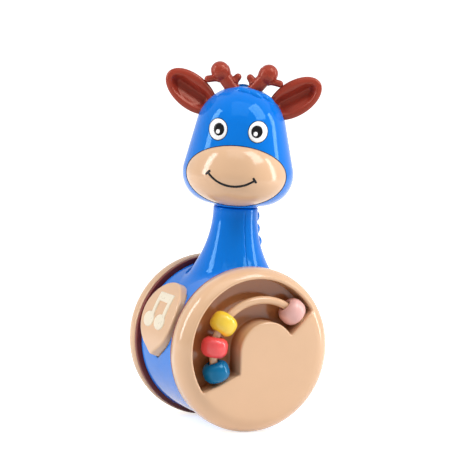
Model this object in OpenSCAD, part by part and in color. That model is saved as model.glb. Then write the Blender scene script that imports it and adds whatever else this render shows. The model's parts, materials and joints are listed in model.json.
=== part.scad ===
// Toy deer that rocks on two bead wheels.
// Millimetres. The floor is z = 0, the axle lies along x above the origin,
// and the front of the body looks along -y. Wheel sizes are given in the wheel's
// own plane: x to the right and y up when its outer face is looked at.

/* [Body] */
// Radius of the drum between the wheels
drum_r = 43.5; // [42:0.5:44.5]
// Width of the drum
drum_w = 43.6; // [43:0.2:48]
// Rounding of the drum's two edges
drum_edge = 2.5; // [1.5:0.5:3]
// Wall of the body shells
shell_t = 2.2; // [1.8:0.1:2.6]
// Radius of the neck at its top
neck_r = 12.5; // [12:0.25:14]
// Radius of the hollow curve from neck to drum
flare_r = 60; // [54:1:68]
// Straight part at the top of the neck
neck_straight = 2.4; // [1:0.2:6]
// Radius of the lumps of the mane on the neck
mane_r = 4; // [3:0.25:5]
// Space from one lump of the mane to the next
mane_step = 7.2; // [6:0.2:8]

/* [Wheels] */
// Outer radius of each wheel
wheel_r = 46; // [45.5:0.5:50]
// Depth of the pale wheel cover
cover_d = 14.4; // [14:0.2:16]
// Rounding of the cover's rim
rim_round = 10; // [6:0.5:11]
// Wall of the cover
cover_wall = 2.2; // [1.8:0.1:2.6]
// Gap between the drum and a wheel
wheel_gap = 0.6; // [0.5:0.1:1.5]
// Rim depth of the dark back plate
plate_t = 2.2; // [2:0.2:4]
// How far the dark plate stands in from the wheel's rim
plate_inset = 0.4; // [0.3:0.1:2]
// Thickness of the dark plate
plate_web = 1.5; // [1.2:0.1:1.8]
// Radius of the axle
axle_r = 3; // [2.5:0.1:3.5]
// Running clearance of a wheel on the axle
axle_fit = 0.05; // [0.03:0.01:0.08]

/* [Bead pocket] */
// Band left between the pocket and the rim, in hundredths of the wheel's radius
rim_band_pc = 14.78; // [13.5:0.1:15.5]
// Radius of the round island beside the pocket, in hundredths of the wheel's radius
hub_pc = 36.1; // [33:0.5:38]
// Island centre to the right of the axle, in hundredths of the wheel's radius
hub_x_pc = 13.7; // [11:0.1:15]
// Wall round the pocket
tub_wall = 1.5; // [1.2:0.1:1.6]
// Floor of the pocket
tub_floor = 1.3; // [1:0.1:1.6]
// Slope of the right end wall
wall_a_dir = 48; // [44:1:52]
// Slope of the lower left end wall
wall_b_dir = 25.3; // [22:0.5:28]
// Radius of the bead rail's bend, in hundredths of the wheel's radius
rail_pc = 63.04; // [62.2:0.1:64.2]
// Radius of the rail's rod
rail_rod_r = 2.2; // [1.6:0.1:2.4]
// Radius of a bead, in hundredths of the wheel's radius
bead_pc = 16.3; // [14.2:0.1:16.9]
// Length of a bead, in hundredths of the wheel's radius
bead_len_pc = 26.08; // [22:0.1:26.4]
// Rounding of a bead's edges, as a share of its radius
bead_round_share = 0.533; // [0.48:0.01:0.58]
// Angle from one bead of the train to the next
bead_pitch = 27.8; // [27.6:0.1:28.4]
// Place of the lowest bead on the rail
bead_low_a = 202; // [198:0.5:202]
// Place of the single bead on the rail
bead_single_a = 51.5; // [51.5:0.5:56]

/* [Chest button] */
// Height of the button's middle, as an angle seen from the axle
button_el = 18.7; // [16:0.5:22]
// How far the button stands out of the drum
button_proud = 2.9; // [2:0.1:3.5]
// Radius of the button's round part
button_r = 19.8; // [17:0.2:20]
// Drop of the button's point below its middle
button_tip = 21.4; // [20.4:0.2:22]
// Gap round the button
button_gap = 0.4; // [0.3:0.05:0.6]
// Travel of the button
button_travel = 1.5; // [1:0.1:1.8]
// How far the note sign stands out of the button
note_proud = 0.7; // [0.4:0.1:1.2]

/* [Head] */
// Turn of the head from the body's front
head_yaw = 60; // [0:5:90]
// Radius of the round skull
dome_r = 25.3; // [24.5:0.1:26]
// Height of the skull's middle above the neck
dome_z = 42; // [40:0.5:44]
// Radius of the cheek rounding
cheek_r = 17; // [16:0.2:18]
// Cheek rounding out from the head's axis
cheek_x = 14; // [13.4:0.2:15]
// Cheek rounding above the neck
cheek_z = 18.5; // [18.2:0.1:19.4]
// Wall of the head shells
head_t = 2.2; // [1.8:0.1:2.6]
// Gap between head and neck
head_gap = 0.3; // [0.3:0.05:0.6]

/* [Face] */
// Half width of the muzzle
muzzle_a = 27.6; // [25:0.2:28.4]
// Half height of the muzzle
muzzle_b = 16.9; // [15:0.1:17]
// Height of the muzzle's middle above the neck
muzzle_z = 19.2; // [19:0.1:21]
// How far the muzzle bulges out of the head
muzzle_bulge = 5.5; // [3:0.5:9]
// Wall of the muzzle
muzzle_t = 1.8; // [1.4:0.1:2.4]
// Half width of the smile
smile_a = 13.1; // [12:0.1:17]
// Width of the smile's line
smile_w = 1.3; // [1:0.1:2]
// Radius of an eye
eye_r = 5.7; // [4.5:0.1:6]
// Eye sideways from the face's middle
eye_x = 11; // [10:0.2:12]
// Eye above the neck
eye_z = 44.3; // [43:0.2:48]
// Radius of a pupil
pupil_r = 3.6; // [2.6:0.1:4]

/* [Ears and antlers] */
// Half length of an ear
ear_a = 16.8; // [14:0.2:19]
// Half width of an ear
ear_b = 9.7; // [8:0.1:11]
// Middle of the ear out from the skull
ear_out = 10.08; // [9:0.2:12]
// Place of the ear on the skull, as an angle above level
ear_place = 35.2; // [32:0.5:38]
// Lift of the ear above level
ear_lift = 36; // [30:1:42]
// Depth of the ear's hollow
ear_hollow = 3.2; // [2:0.2:4]
// Radius of the ball at the top of an antler
ball_r = 5.4; // [4:0.2:6]
// Middle of the ball out from the skull
ball_out = 10.5; // [9:0.2:12]
// Place of the ball, as an angle from upright
ball_place = 22.3; // [20:0.5:24]
// Radius of an antler's stem
stem_r = 3; // [2.4:0.1:3]
// Radius of an antler's short tines
tine_r = 1.8; // [1.4:0.1:2.2]

/* [Weight] */
// Top of the weight below the axle, as a share of the drum's radius
weight_share = 0.483; // [0.48:0.01:0.64]
// Rear end of the weight, as a share of the drum's radius, cut back so that the deer stands straight
weight_back_share = 0.6; // [0.55:0.005:0.7]
// Gap round the weight
weight_gap = 0.3; // [0.2:0.05:0.5]

/* [Hidden] */
$fn = 96;
// A size larger than the whole toy
big = 300;
// A small overlap that joins solids
lap = 0.4;
axle_z = wheel_r;
drum_half = drum_w/2;

// Neck curve: one arc that runs into the drum, a little below its touching height
flare_sink = 0.25;
flare_root = 3;
flare_cx = neck_r + flare_r;
flare_cz = axle_z + sqrt(pow(flare_r + drum_r, 2) - pow(flare_cx, 2)) - flare_sink;
flare_share = drum_r/(drum_r + flare_r);
flare_tr = flare_cx*flare_share;
flare_tz = axle_z + (flare_cz - axle_z)*flare_share;
neck_top = flare_cz + flare_sink + neck_straight;
flare_half = drum_half - drum_edge/2;

// Collar that carries the head
spigot_r = 9;
spigot_h = 4.2;
flange_r = 11.6;
flange_h = 2;
spigot_bore = 6.5;
collar_r = 12.8;
collar_h = spigot_h - 2*head_gap;

// Axle seats and long screws of the body
seat_r = 6.5;
seat_in = 13.5;
seat_out = drum_half + wheel_gap/2;
tower_r = 4.2;
tower_x = 14.6;
tower_over = 5.11125;
boss_share = 0.299;
tower_z = drum_r*weight_share - tower_over;
tower_web = 6;
boss_len = drum_r*boss_share;
screw_r = 1.4;
screw_hole = 1.6;
screw_pilot = 1.38;
screw_head_r = 2.7;
screw_head_t = 1.8;
screw_head_hole = 2.9;
screw_len = 15;
rib_t = 2;
slot_w = 0.7;
slot_l = 3.2;
slot_d = 0.8;

// Weight, and the ledges that hold it down
weight_drop = drum_r*weight_share;
weight_back = drum_r*weight_back_share;
ledge_t = 1.4;
ledge_x = 14.4;
ledge_in = 13.5;
ledge_len = drum_r - ledge_in;

// Battery box in the rear shell
box_x = 8.75;
box_z = 6.6;
box_wall = 1.4;
box_deep = 17.5;
box_in = drum_r - box_deep;
cell_r = 5.8;
cell_len = 5.4;
cell_gap = 0.05;
cell_deep = 10.1;
cell_y = drum_r - cell_deep;
contact_t = 0.4;
contact_w = 8;
contact_h = 9;
door_x = 17;
door_z = 8.6;
door_gap = 0.3;
door_frame = 2.4;
door_screw_x = 13.6;
door_boss_r = 2.8;
door_boss_len = 8;
door_seat = 1.2;
door_screw_len = 7;

// Wheel planes, measured out from the toy's middle
z_plate = drum_half + wheel_gap;
z_cover = z_plate + plate_t;
z_face = z_cover + cover_d;
plate_r = wheel_r - plate_inset;
cover_in_r = wheel_r - cover_wall;
ring_t = 1.5;
ring_in = cover_in_r - ring_t;
ring_fit = 0.15;
ring_up = 3;
tub_gap = 0.3;
tub_low = z_plate + plate_web + tub_gap;
z_floor = tub_low + tub_floor;
// One hundredth of the wheel's radius: the track grows with its wheel
pc = wheel_r/100;
rim_band = rim_band_pc*pc;
hub_r = hub_pc*pc;
hub_x = hub_x_pc*pc;
rail_r = rail_pc*pc;
bead_r = bead_pc*pc;
bead_len = bead_len_pc*pc;
bead_round = bead_round_share*bead_r;
pocket_r = wheel_r - rim_band;
pocket_x = 0.65*pc;
pocket_y = 2.61*pc;
hub_y = 0.65*pc;
rail_cx = 9.783*pc;
rail_cy = -1.087*pc;
wall_a = [59.78*pc, 37.28*pc];
wall_b = [-48.7*pc, -40.43*pc];
wall_a_in = 20.22*pc;
wall_b_in = 30.43*pc;
bead_lift = 0.5;
rail_z = z_floor + bead_lift + bead_r;
rail_start = 29.5;
rail_end = 222.5;
rail_fit = 0.04;
bead_play = 0.7;
bead_hole = rail_rod_r + bead_play;
bead_sag = rail_r - sqrt(pow(rail_r, 2) - pow(bead_len/2, 2));
wheel_screw_a = [-15, -65, -115];
wheel_screw_at = 71.7*pc;
cup_r = 4.2;
cup_up = 1.8;
wheel_boss_r = 3.2;
wheel_screw_len = 9;
bush_r = 6.5;
bush_len = 9.6;
bush_top = z_plate + bush_len;
washer_r = 5.2;
washer_t = 0.8;
washer_gap = 0.3;
nut_t = 1.2;
axle_end = 1;
axle_half = bush_top + washer_gap + washer_t + nut_t + axle_end;

// Button planes, measured out from the axle along the press
face_r = drum_r + button_proud;
button_deep = 13;
button_low = drum_r - button_deep;
button_wall = 2;
button_skin = 2.4;
button_mid = 0.8;
tip_r = 4;
// Keeps straight sides just inside the round ends they join
tuck = 0.1;
tab_x = 5;
tab_over = 4.4;
tab_root = button_r - button_wall/2;
tab_end = button_r + tab_over;
tab_t = 2.4;
board_deep = 21.5;
board_z = drum_r - board_deep;
board_t = 1.6;
board_x = 13;
board_in = 15.5;
board_y = drum_r - board_in;
post_x = 10.4;
post_in = 17.9;
post_y = drum_r - post_in;
post_r = 2.6;
post_short = 7.5;
post_end = drum_r - post_short;
post_pilot = 0.9;
small_screw_r = 0.92;
small_head_r = 1.9;
small_head_t = 1.2;
small_len = 6;
switch_w = 8;
switch_h = 3.6;
switch_base = 0.4;
plunger_r = 1.75;
plunger_gap = 0.3;
plunger_len = 3.6;
plunger_deep = 13.8;
plunger_top = drum_r - plunger_deep;
stem_push_r = 3;
sounder_r = 6.5;
sounder_h = 4.4;
sounder_y = 9;
note_head_r = 4.4;
note_head_wide = 1.36;
note_head_y = -3.2;
note_head_x = [-8.4, 5.2];
note_stem_w = 3.2;
note_stem_at = 1.2;
note_top = 13.4;
note_beam = 5.2;

// Head numbers
head_steps = 15;
// Turns the seam of a round hole away from the split between two shells
seam_turn = 35;
cheek_far = sqrt(pow(cheek_x, 2) + pow(dome_z - cheek_z, 2));
side_dir = atan2(cheek_z - dome_z, cheek_x) + acos((dome_r - cheek_r)/cheek_far);
side_n = [cos(side_dir), sin(side_dir)];
side_top = dome_z + dome_r*side_n[1];
side_low = cheek_z + cheek_r*side_n[1];
eye_turn = asin(eye_x/dome_r);
eye_rise = asin((eye_z - dome_z)/dome_r);
eye_ball_drop = 2.5;
eye_ball_more = 1.3;
eye_ball_r = dome_r + eye_ball_more;
eye_in = 3.2;
pupil_proud = 0.15;
pupil_in = 1.2;
pupil_deep = 2;
snug = 0.05;
head_screws_at = [[-15.5, 21], [15.5, 21], [0, 51]];
head_web = 5;
head_boss_len = 10;
head_screw_len = 12;
ear_plug_r = 2.6;
ear_plug_in = 18;
ear_back = 4.6;
ear_rim = 2.4;
ear_rim_share = 0.78;
ear_dish_share = 0.8;
ear_rings = 9;
ear_segs = 36;
muzzle_rings = 10;
muzzle_segs = 48;
muzzle_fit = 0.1;
muzzle_front_y = 11.5;
smile_off = -1.4;
smile_tilt = -5.7;
smile_z = 19.8;
smile_sag = 5.2;
smile_proud = 0.35;
tick_l = 3.7;
tick_dir = 50;
ear_x = (dome_r + ear_out)*cos(ear_place);
ear_z = dome_z + (dome_r + ear_out)*sin(ear_place);
ball_x = (dome_r + ball_out)*sin(ball_place);
ball_z = dome_z + (dome_r + ball_out)*cos(ball_place);
stem_deep = 3.4;
stem_place = 11.3;
stem_in_x = (dome_r - stem_deep)*sin(stem_place);
stem_in_z = dome_z + (dome_r - stem_deep)*cos(stem_place);
stem_len = sqrt(pow(ball_x - stem_in_x, 2) + pow(ball_z - stem_in_z, 2));
stem_dir = atan2(ball_x - stem_in_x, ball_z - stem_in_z);
neck_share = 0.8;
tine_in = 10;
tine_in_drop = 3.1;
tine_out = 6.8;
tine_out_drop = 5.4;
inner_tine = [ball_x - tine_in, ball_z - tine_in_drop];
inner_share = 0.52;
outer_tine = [ball_x + tine_out, ball_z - tine_out_drop];
outer_share = 0.78;
tuft_r = [3.6, 3.8, 3.2, 3.8, 4];
tuft_tilt = [17, 28, 38, -18, -33];
tuft_sink = 1.4;
mane_top = 5.4;
mane_sink = 1.6;

body_blue = [0.02, 0.42, 0.90];
pale = [0.90, 0.71, 0.55];
rust = [0.56, 0.22, 0.16];
dark_plate = [0.33, 0.10, 0.07];
cream = [0.93, 0.88, 0.78];
steel = [0.72, 0.72, 0.74];
dark = [0.03, 0.03, 0.03];
white = [0.96, 0.96, 0.96];
bead_yellow = [0.96, 0.76, 0.26];
bead_red = [0.93, 0.34, 0.40];
bead_blue = [0, 0.46, 0.64];
bead_pink = [0.94, 0.73, 0.73];
board_green = [0.08, 0.35, 0.2];
brass = [0.78, 0.62, 0.3];
iron = [0.3, 0.3, 0.32];

// Shared helpers

module front_of() {
  translate([-big, -2*big, -big])
    cube(2*big);
}

module rear_of() {
  translate([-big, 0, -big])
    cube(2*big);
}

// A screw that points along -z, its head resting on z = 0
module screw(r, len, head_r, head_t) {
  difference() {
    union() {
      cylinder(r = head_r, h = head_t);
      translate([0, 0, -len])
        cylinder(r = r, h = len + head_t/2);
    }
    for (turn = [0, 90])
      rotate([0, 0, turn])
        translate([-slot_l/2*head_r/screw_head_r, -slot_w/2, head_t - slot_d])
          cube([slot_l*head_r/screw_head_r, slot_w, slot_d + lap]);
  }
}

// Turns a shape standing on z so that it lies along x
module along_x() {
  rotate([0, 90, 0])
    children();
}

// Turns a shape standing on z so that it lies along y, towards the rear
module along_y() {
  rotate([-90, 0, 0])
    children();
}

// The same towards the front
module along_front() {
  rotate([90, 0, 0])
    children();
}

// Body shape, drawn in by w

module drum_2d(w) {
  r = drum_r - w;
  half = drum_half - w;
  translate([0, -half])
    square([r - drum_edge, 2*half]);
  translate([0, drum_edge - half])
    square([r, 2*(half - drum_edge)]);
  for (side = [-1, 1])
    translate([r - drum_edge, side*(half - drum_edge)])
      circle(r = drum_edge);
}

module flare_2d(w) {
  difference() {
    translate([0, flare_tz - flare_root])
      square([flare_tr, flare_cz - flare_tz + flare_root]);
    translate([flare_cx, flare_cz])
      circle(r = flare_r + w);
  }
  translate([0, flare_cz - lap])
    square([neck_r - w, neck_top - flare_cz + lap - w]);
}

module body_solid(w) {
  translate([0, 0, axle_z])
    along_x()
      rotate_extrude()
        drum_2d(w);
  intersection() {
    rotate_extrude()
      flare_2d(w);
    translate([w - flare_half, -big, 0])
      cube([2*(flare_half - w), 2*big, big]);
  }
}

module body_skin() {
  difference() {
    union() {
      body_solid(0);
      children();
    }
    body_solid(shell_t);
  }
}

module at_towers() {
  for (sx = [-1, 1])
    for (sz = [-1, 1])
      translate([sx*tower_x, 0, axle_z + sz*tower_z])
        children();
}

module axle_seats() {
  for (side = [0, 180])
    translate([0, 0, axle_z])
      rotate([0, 0, side])
        along_x()
          translate([0, 0, seat_in])
            cylinder(r = seat_r, h = seat_out - seat_in);
}

module neck_spigot() {
  translate([0, 0, neck_top - shell_t])
    cylinder(r = spigot_r, h = spigot_h + shell_t);
  translate([0, 0, neck_top + spigot_h])
    cylinder(r = flange_r, h = flange_h);
}

module body_bores() {
  translate([0, 0, axle_z])
    along_x()
      translate([0, 0, -big])
        cylinder(r = axle_r, h = 2*big);
  translate([0, 0, neck_top - 2*shell_t])
    cylinder(r = spigot_bore, h = big);
}

// Holds the weight down on both sides
module ledges() {
  for (side = [-1, 1])
    translate([side*(ledge_x + drum_half - lap)/2, 0, axle_z - weight_drop + weight_gap + ledge_t/2])
      cube([drum_half - lap - ledge_x, 2*ledge_len, ledge_t], center = true);
}

function neck_rad(z) =
  z > flare_cz ? neck_r : flare_cx - sqrt(pow(flare_r, 2) - pow(flare_cz - z, 2));

module neck_mane() {
  for (i = [0:2])
    translate([0, neck_rad(neck_top - mane_top - i*mane_step) - mane_sink, neck_top - mane_top - i*mane_step])
      sphere(r = mane_r);
}

// Places a shape drawn about the axle so that +z is the press direction
module at_button() {
  translate([0, 0, axle_z])
    rotate([90 - button_el, 0, 0])
      children();
}

module shield_2d(grow) {
  r = button_r + grow;
  t = tip_r + grow;
  drop = button_tip - tip_r + button_mid;
  lean = asin((r - t)/drop);
  ri = r - tuck;
  ti = t - tuck;
  translate([0, button_mid]) {
    circle(r = r);
    translate([0, -drop])
      circle(r = t);
    polygon([
      [ri*cos(lean), -ri*sin(lean)], [-ri*cos(lean), -ri*sin(lean)],
      [-ti*cos(lean), -drop - ti*sin(lean)], [ti*cos(lean), -drop - ti*sin(lean)]
    ]);
  }
}

module at_posts() {
  for (sx = [-1, 1])
    for (sy = [-1, 1])
      translate([sx*post_x, sy*post_y, board_z + board_t])
        children();
}

module body_front_shell() color(body_blue) {
  difference() {
    union() {
      intersection() {
        union() {
          body_skin();
          neck_spigot();
          axle_seats();
        }
        front_of();
      }
      intersection() {
        body_solid(shell_t/2);
        union() {
          at_towers()
            along_front()
                cylinder(r = tower_r, h = boss_len);
          for (sz = [-1, 1])
            for (sx = [-1, 1])
              translate([sx*(drum_half + tower_x)/2, -boss_len/2, axle_z + sz*tower_z])
                cube([drum_half - tower_x, boss_len, rib_t], center = true);
          at_button()
            at_posts()
              cylinder(r = post_r, h = post_end - board_z);
          intersection() {
            ledges();
            front_of();
          }
        }
      }
    }
    body_bores();
    at_towers()
      along_front()
          translate([0, 0, -lap])
            cylinder(r = screw_pilot, h = boss_len - shell_t/2);
    at_button() {
      translate([0, 0, button_low - button_travel - lap])
        linear_extrude(big)
          shield_2d(button_gap);
      at_posts()
        translate([0, 0, -lap])
          cylinder(r = post_pilot, h = small_len + lap);
    }
  }
}

module door_2d(grow) {
  square([2*(door_x + grow), 2*(door_z + grow)], center = true);
}

module at_door() {
  translate([0, 0, axle_z])
    along_y()
      children();
}

// A part of the drum's outer wall between two radii
module drum_band(r_in, r_out) {
  translate([0, 0, axle_z])
    along_x()
      translate([0, 0, -drum_half])
        difference() {
          cylinder(r = r_out, h = drum_w);
          translate([0, 0, -lap])
            cylinder(r = r_in, h = drum_w + 2*lap);
        }
}

module at_door_screw() {
  for (side = [-1, 1])
    translate([side*door_screw_x, 0, 0])
      children();
}

module body_rear_shell() color(body_blue) {
  difference() {
    union() {
      intersection() {
        union() {
          body_skin()
            neck_mane();
          neck_spigot();
          axle_seats();
        }
        rear_of();
      }
      intersection() {
        body_solid(shell_t/2);
        union() {
          at_towers()
            along_y()
              cylinder(r = tower_r, h = big);
          at_door()
            translate([-box_x - box_wall, -box_z - box_wall, box_in - box_wall])
              cube([2*(box_x + box_wall), 2*(box_z + box_wall), big]);
          at_door()
            at_door_screw()
              translate([0, 0, drum_r - 2*shell_t - door_boss_len])
                cylinder(r = door_boss_r, h = door_boss_len + lap);
          intersection() {
            drum_band(drum_r - 2*shell_t, drum_r - shell_t + lap);
            at_door()
              linear_extrude(big)
                door_2d(door_frame);
          }
          intersection() {
            ledges();
            rear_of();
          }
        }
      }
    }
    body_bores();
    at_towers()
      along_y() {
        translate([0, 0, -lap])
          cylinder(r = screw_hole, h = tower_web + 2*lap);
        translate([0, 0, tower_web])
          cylinder(r = screw_head_hole, h = big);
      }
    at_door() {
      translate([-box_x, -box_z, box_in])
        cube([2*box_x, 2*box_z, big]);
      at_door_screw()
        translate([0, 0, drum_r - 2*shell_t - door_boss_len + door_seat])
          cylinder(r = post_pilot, h = big);
    }
    intersection() {
      drum_band(drum_r - shell_t - door_gap, drum_r + shell_t);
      at_door()
        linear_extrude(big)
          door_2d(door_gap);
    }
  }
}

module battery_door() color(body_blue) {
  difference() {
    intersection() {
      drum_band(drum_r - shell_t, drum_r);
      at_door()
        linear_extrude(big)
          door_2d(0);
    }
    at_door()
      at_door_screw() {
        cylinder(r = small_screw_r + snug, h = big);
        translate([0, 0, drum_r - small_head_t])
          cylinder(r = small_head_r + door_gap, h = big);
      }
  }
}

module door_screws() color(steel) {
  at_door()
    at_door_screw()
      translate([0, 0, drum_r - small_head_t])
        screw(post_pilot - snug/2, door_screw_len, small_head_r, small_head_t);
}

module counterweight() color(iron) {
  intersection() {
    translate([0, 0, axle_z])
      along_x()
        rotate_extrude()
          drum_2d(shell_t + weight_gap);
    translate([-big/2, weight_back - big, axle_z - weight_drop - big])
      cube(big);
  }
}

module body_screws() color(steel) {
  at_towers()
    along_y()
      translate([0, 0, tower_web])
        screw(screw_r - snug, screw_len, screw_head_r, screw_head_t);
}

module axle() color(steel) {
  translate([0, 0, axle_z])
    along_x()
      translate([0, 0, -axle_half])
        cylinder(r = axle_r, h = 2*axle_half);
}

// Places a shape at both ends of the axle, z pointing out
module at_axle_ends() {
  for (side = [0, 180])
    translate([0, 0, axle_z])
      rotate([0, 0, side])
        along_x()
          children();
}

module axle_ring(z, t, r) {
  translate([0, 0, z])
    difference() {
      cylinder(r = r, h = t);
      translate([0, 0, -lap])
        cylinder(r = axle_r, h = t + 2*lap);
    }
}

module axle_washers() color(steel) {
  at_axle_ends()
    axle_ring(bush_top + washer_gap, washer_t, washer_r);
}

module axle_nuts() color(steel) {
  at_axle_ends()
    axle_ring(bush_top + washer_gap + washer_t, nut_t, washer_r - washer_t);
}

// Sound works behind the button

module sound_board() color(board_green) {
  at_button()
    difference() {
      translate([-board_x, -board_y, board_z])
        cube([2*board_x, 2*board_y, board_t]);
      at_posts()
        translate([0, 0, -2*board_t])
          cylinder(r = small_screw_r + snug, h = 3*board_t);
    }
}

module board_screws() color(steel) {
  at_button()
    at_posts()
      translate([0, 0, -board_t])
        rotate([180, 0, 0])
          screw(post_pilot - snug/2, small_len, small_head_r, small_head_t);
}

module tact_switch() color(dark) {
  at_button()
    difference() {
      translate([-switch_w/2, -switch_w/2, board_z + board_t])
        cube([switch_w, switch_w, switch_h]);
      translate([0, 0, board_z + board_t + switch_base])
        cylinder(r = plunger_r + plunger_gap, h = big);
    }
}

module piezo_sounder() color(dark) {
  at_button()
    translate([0, sounder_y, board_z - sounder_h])
      difference() {
        cylinder(r = sounder_r, h = sounder_h);
        translate([0, 0, -lap])
          cylinder(r = axle_r/2, h = sounder_h/2);
      }
}

module switch_plunger() color(rust) {
  at_button()
    translate([0, 0, plunger_top - plunger_len])
      cylinder(r = plunger_r, h = plunger_len);
}

module about_axle_cut(r) {
  translate([-big/2, 0, 0])
    along_x()
      cylinder(r = r, h = big);
}

module music_button() color(pale) {
  at_button() {
    difference() {
      intersection() {
        translate([0, 0, button_low])
          linear_extrude(big)
            shield_2d(0);
        about_axle_cut(face_r);
      }
      intersection() {
        translate([0, 0, button_low - lap])
          linear_extrude(big)
            shield_2d(-button_wall);
        about_axle_cut(face_r - button_skin);
      }
    }
    translate([0, 0, plunger_top])
      cylinder(r = stem_push_r, h = face_r - plunger_top - button_skin/2);
    for (side = [-1, 1])
      translate([-tab_x, side*(tab_end + tab_root)/2 - (tab_end - tab_root)/2, button_low])
        cube([2*tab_x, tab_end - tab_root, tab_t]);
  }
}

module note_2d() {
  for (x = note_head_x) {
    translate([x, note_head_y])
      scale([note_head_wide, 1])
        circle(r = note_head_r);
    translate([x + note_stem_at, note_head_y])
      square([note_stem_w, note_top - note_head_y]);
  }
  translate([note_head_x[0] + note_stem_at, note_top - note_beam])
    square([note_head_x[1] - note_head_x[0] + note_stem_w, note_beam]);
}

module button_note() color(cream) {
  at_button()
    difference() {
      intersection() {
        translate([0, 0, button_low])
          linear_extrude(big)
            note_2d();
        about_axle_cut(face_r + note_proud);
      }
      about_axle_cut(face_r);
    }
}

// Wheel parts, drawn in the wheel's own plane with z pointing out of the toy

module on_right() {
  translate([0, 0, axle_z])
    rotate([90, 0, 90])
      children();
}

module on_left() {
  translate([0, 0, axle_z])
    rotate([0, 0, 180])
      rotate([90, 0, 90])
        children();
}

module cover_2d(w, low) {
  intersection() {
    union() {
      square([wheel_r - rim_round, z_face - w]);
      square([wheel_r - w, z_face - rim_round]);
      translate([wheel_r - rim_round, z_face - rim_round])
        circle(r = rim_round - w);
    }
    translate([0, low])
      square([wheel_r, big]);
  }
}

function shifted(p, dir, d) = [p[0] + d*sin(dir), p[1] - d*cos(dir)];
function along(p, dir, d) = [p[0] + d*cos(dir), p[1] + d*sin(dir)];

// The bead pocket's outline, grown outwards by g
module pocket_2d(g) {
  pa = shifted(wall_a, wall_a_dir, g);
  pb = shifted(wall_b, wall_b_dir, g);
  difference() {
    translate([pocket_x, pocket_y])
      circle(r = pocket_r + g);
    translate([hub_x, hub_y])
      circle(r = hub_r - g);
    polygon([
      [hub_x, hub_y], along(pa, wall_a_dir, -wall_a_in), along(pa, wall_a_dir, wheel_r),
      [2*wheel_r, -2*wheel_r], [-2*wheel_r, -2*wheel_r],
      along(pb, wall_b_dir, -wheel_r), along(pb, wall_b_dir, wall_b_in + g),
      [hub_x - hub_r + g, hub_y]
    ]);
  }
}

module at_rail() {
  translate([rail_cx, rail_cy, rail_z])
    children();
}

module rail_shape(r) {
  at_rail()
    rotate([0, 0, rail_start])
      rotate_extrude(angle = rail_end - rail_start)
        translate([rail_r, 0])
          circle(r = r);
}

module at_wheel_screws() {
  for (turn = wheel_screw_a)
    rotate([0, 0, turn])
      translate([wheel_screw_at, 0, 0])
        children();
}

module wheel_cover() color(pale) {
  difference() {
    union() {
      difference() {
        rotate_extrude()
          cover_2d(0, z_cover);
        rotate_extrude()
          cover_2d(cover_wall, z_cover - lap);
      }
      intersection() {
        rotate_extrude()
          cover_2d(0, tub_low);
        translate([0, 0, tub_low])
          linear_extrude(z_face - tub_low)
            pocket_2d(tub_wall);
      }
      at_wheel_screws()
        translate([0, 0, z_plate + plate_web + cup_up + snug])
          cylinder(r = wheel_boss_r, h = z_face - cover_wall/2 - z_plate - plate_web - cup_up - snug);
    }
    translate([0, 0, z_floor])
      linear_extrude(big)
        pocket_2d(0);
    rail_shape(rail_rod_r + rail_fit);
    at_wheel_screws()
      cylinder(r = screw_pilot, h = z_plate + plate_web + cup_up + wheel_screw_len);
  }
}

module wheel_plate() color(dark_plate) {
  difference() {
    union() {
      translate([0, 0, z_plate])
        cylinder(r = plate_r, h = plate_web);
      translate([0, 0, z_plate])
        difference() {
          cylinder(r = plate_r, h = plate_t);
          translate([0, 0, plate_web/2])
            cylinder(r = ring_in, h = big);
        }
      translate([0, 0, z_plate])
        difference() {
          cylinder(r = cover_in_r - ring_fit, h = plate_t + ring_up);
          translate([0, 0, plate_web/2])
            cylinder(r = ring_in, h = big);
        }
      translate([0, 0, z_plate])
        cylinder(r = bush_r, h = bush_top - z_plate);
      at_wheel_screws()
        translate([0, 0, z_plate])
          cylinder(r = cup_r, h = plate_web + cup_up);
    }
    cylinder(r = axle_r + axle_fit, h = big);
    at_wheel_screws() {
      cylinder(r = screw_hole, h = big);
      cylinder(r = screw_head_hole, h = z_plate + cup_up);
    }
  }
}

module bead_rail() color(pale) {
  rail_shape(rail_rod_r);
}

module wheel_screws() color(steel) {
  at_wheel_screws()
    translate([0, 0, z_plate + cup_up])
      rotate([180, 0, 0])
        screw(screw_r - snug, wheel_screw_len, screw_head_r, cup_up - lap);
}

module bead_2d() {
  half = bead_len/2;
  difference() {
    union() {
      translate([0, -half])
        square([bead_r - bead_round, bead_len]);
      translate([0, bead_round - half])
        square([bead_r, bead_len - 2*bead_round]);
      for (side = [-1, 1])
        translate([bead_r - bead_round, side*(half - bead_round)])
          circle(r = bead_round);
    }
    translate([-big, -big])
      square([big + bead_hole, 2*big]);
  }
}

module bead(place) {
  at_rail()
    rotate([0, 0, place])
      translate([rail_r - bead_sag/2, 0, 0])
        rotate([90, 0, 0])
          rotate_extrude()
            bead_2d();
}

module yellow_bead() color(bead_yellow)
  bead(bead_low_a - 2*bead_pitch);

module red_bead() color(bead_red)
  bead(bead_low_a - bead_pitch);

module blue_bead() color(bead_blue)
  bead(bead_low_a);

module pink_bead() color(bead_pink)
  bead(bead_single_a);

module left_wheel_cover() on_left() wheel_cover();
module left_wheel_plate() on_left() wheel_plate();
module left_bead_rail() on_left() bead_rail();
module left_wheel_screws() on_left() wheel_screws();
module left_bead_yellow() on_left() yellow_bead();
module left_bead_red() on_left() red_bead();
module left_bead_blue() on_left() blue_bead();
module left_bead_pink() on_left() pink_bead();
module right_wheel_cover() on_right() wheel_cover();
module right_wheel_plate() on_right() wheel_plate();
module right_bead_rail() on_right() bead_rail();
module right_wheel_screws() on_right() wheel_screws();
module right_bead_yellow() on_right() yellow_bead();
module right_bead_red() on_right() red_bead();
module right_bead_blue() on_right() blue_bead();
module right_bead_pink() on_right() pink_bead();

// Head parts, drawn facing -y with the neck's top as z = 0

module on_neck() {
  translate([0, 0, neck_top])
    rotate([0, 0, head_yaw])
      children();
}

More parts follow.
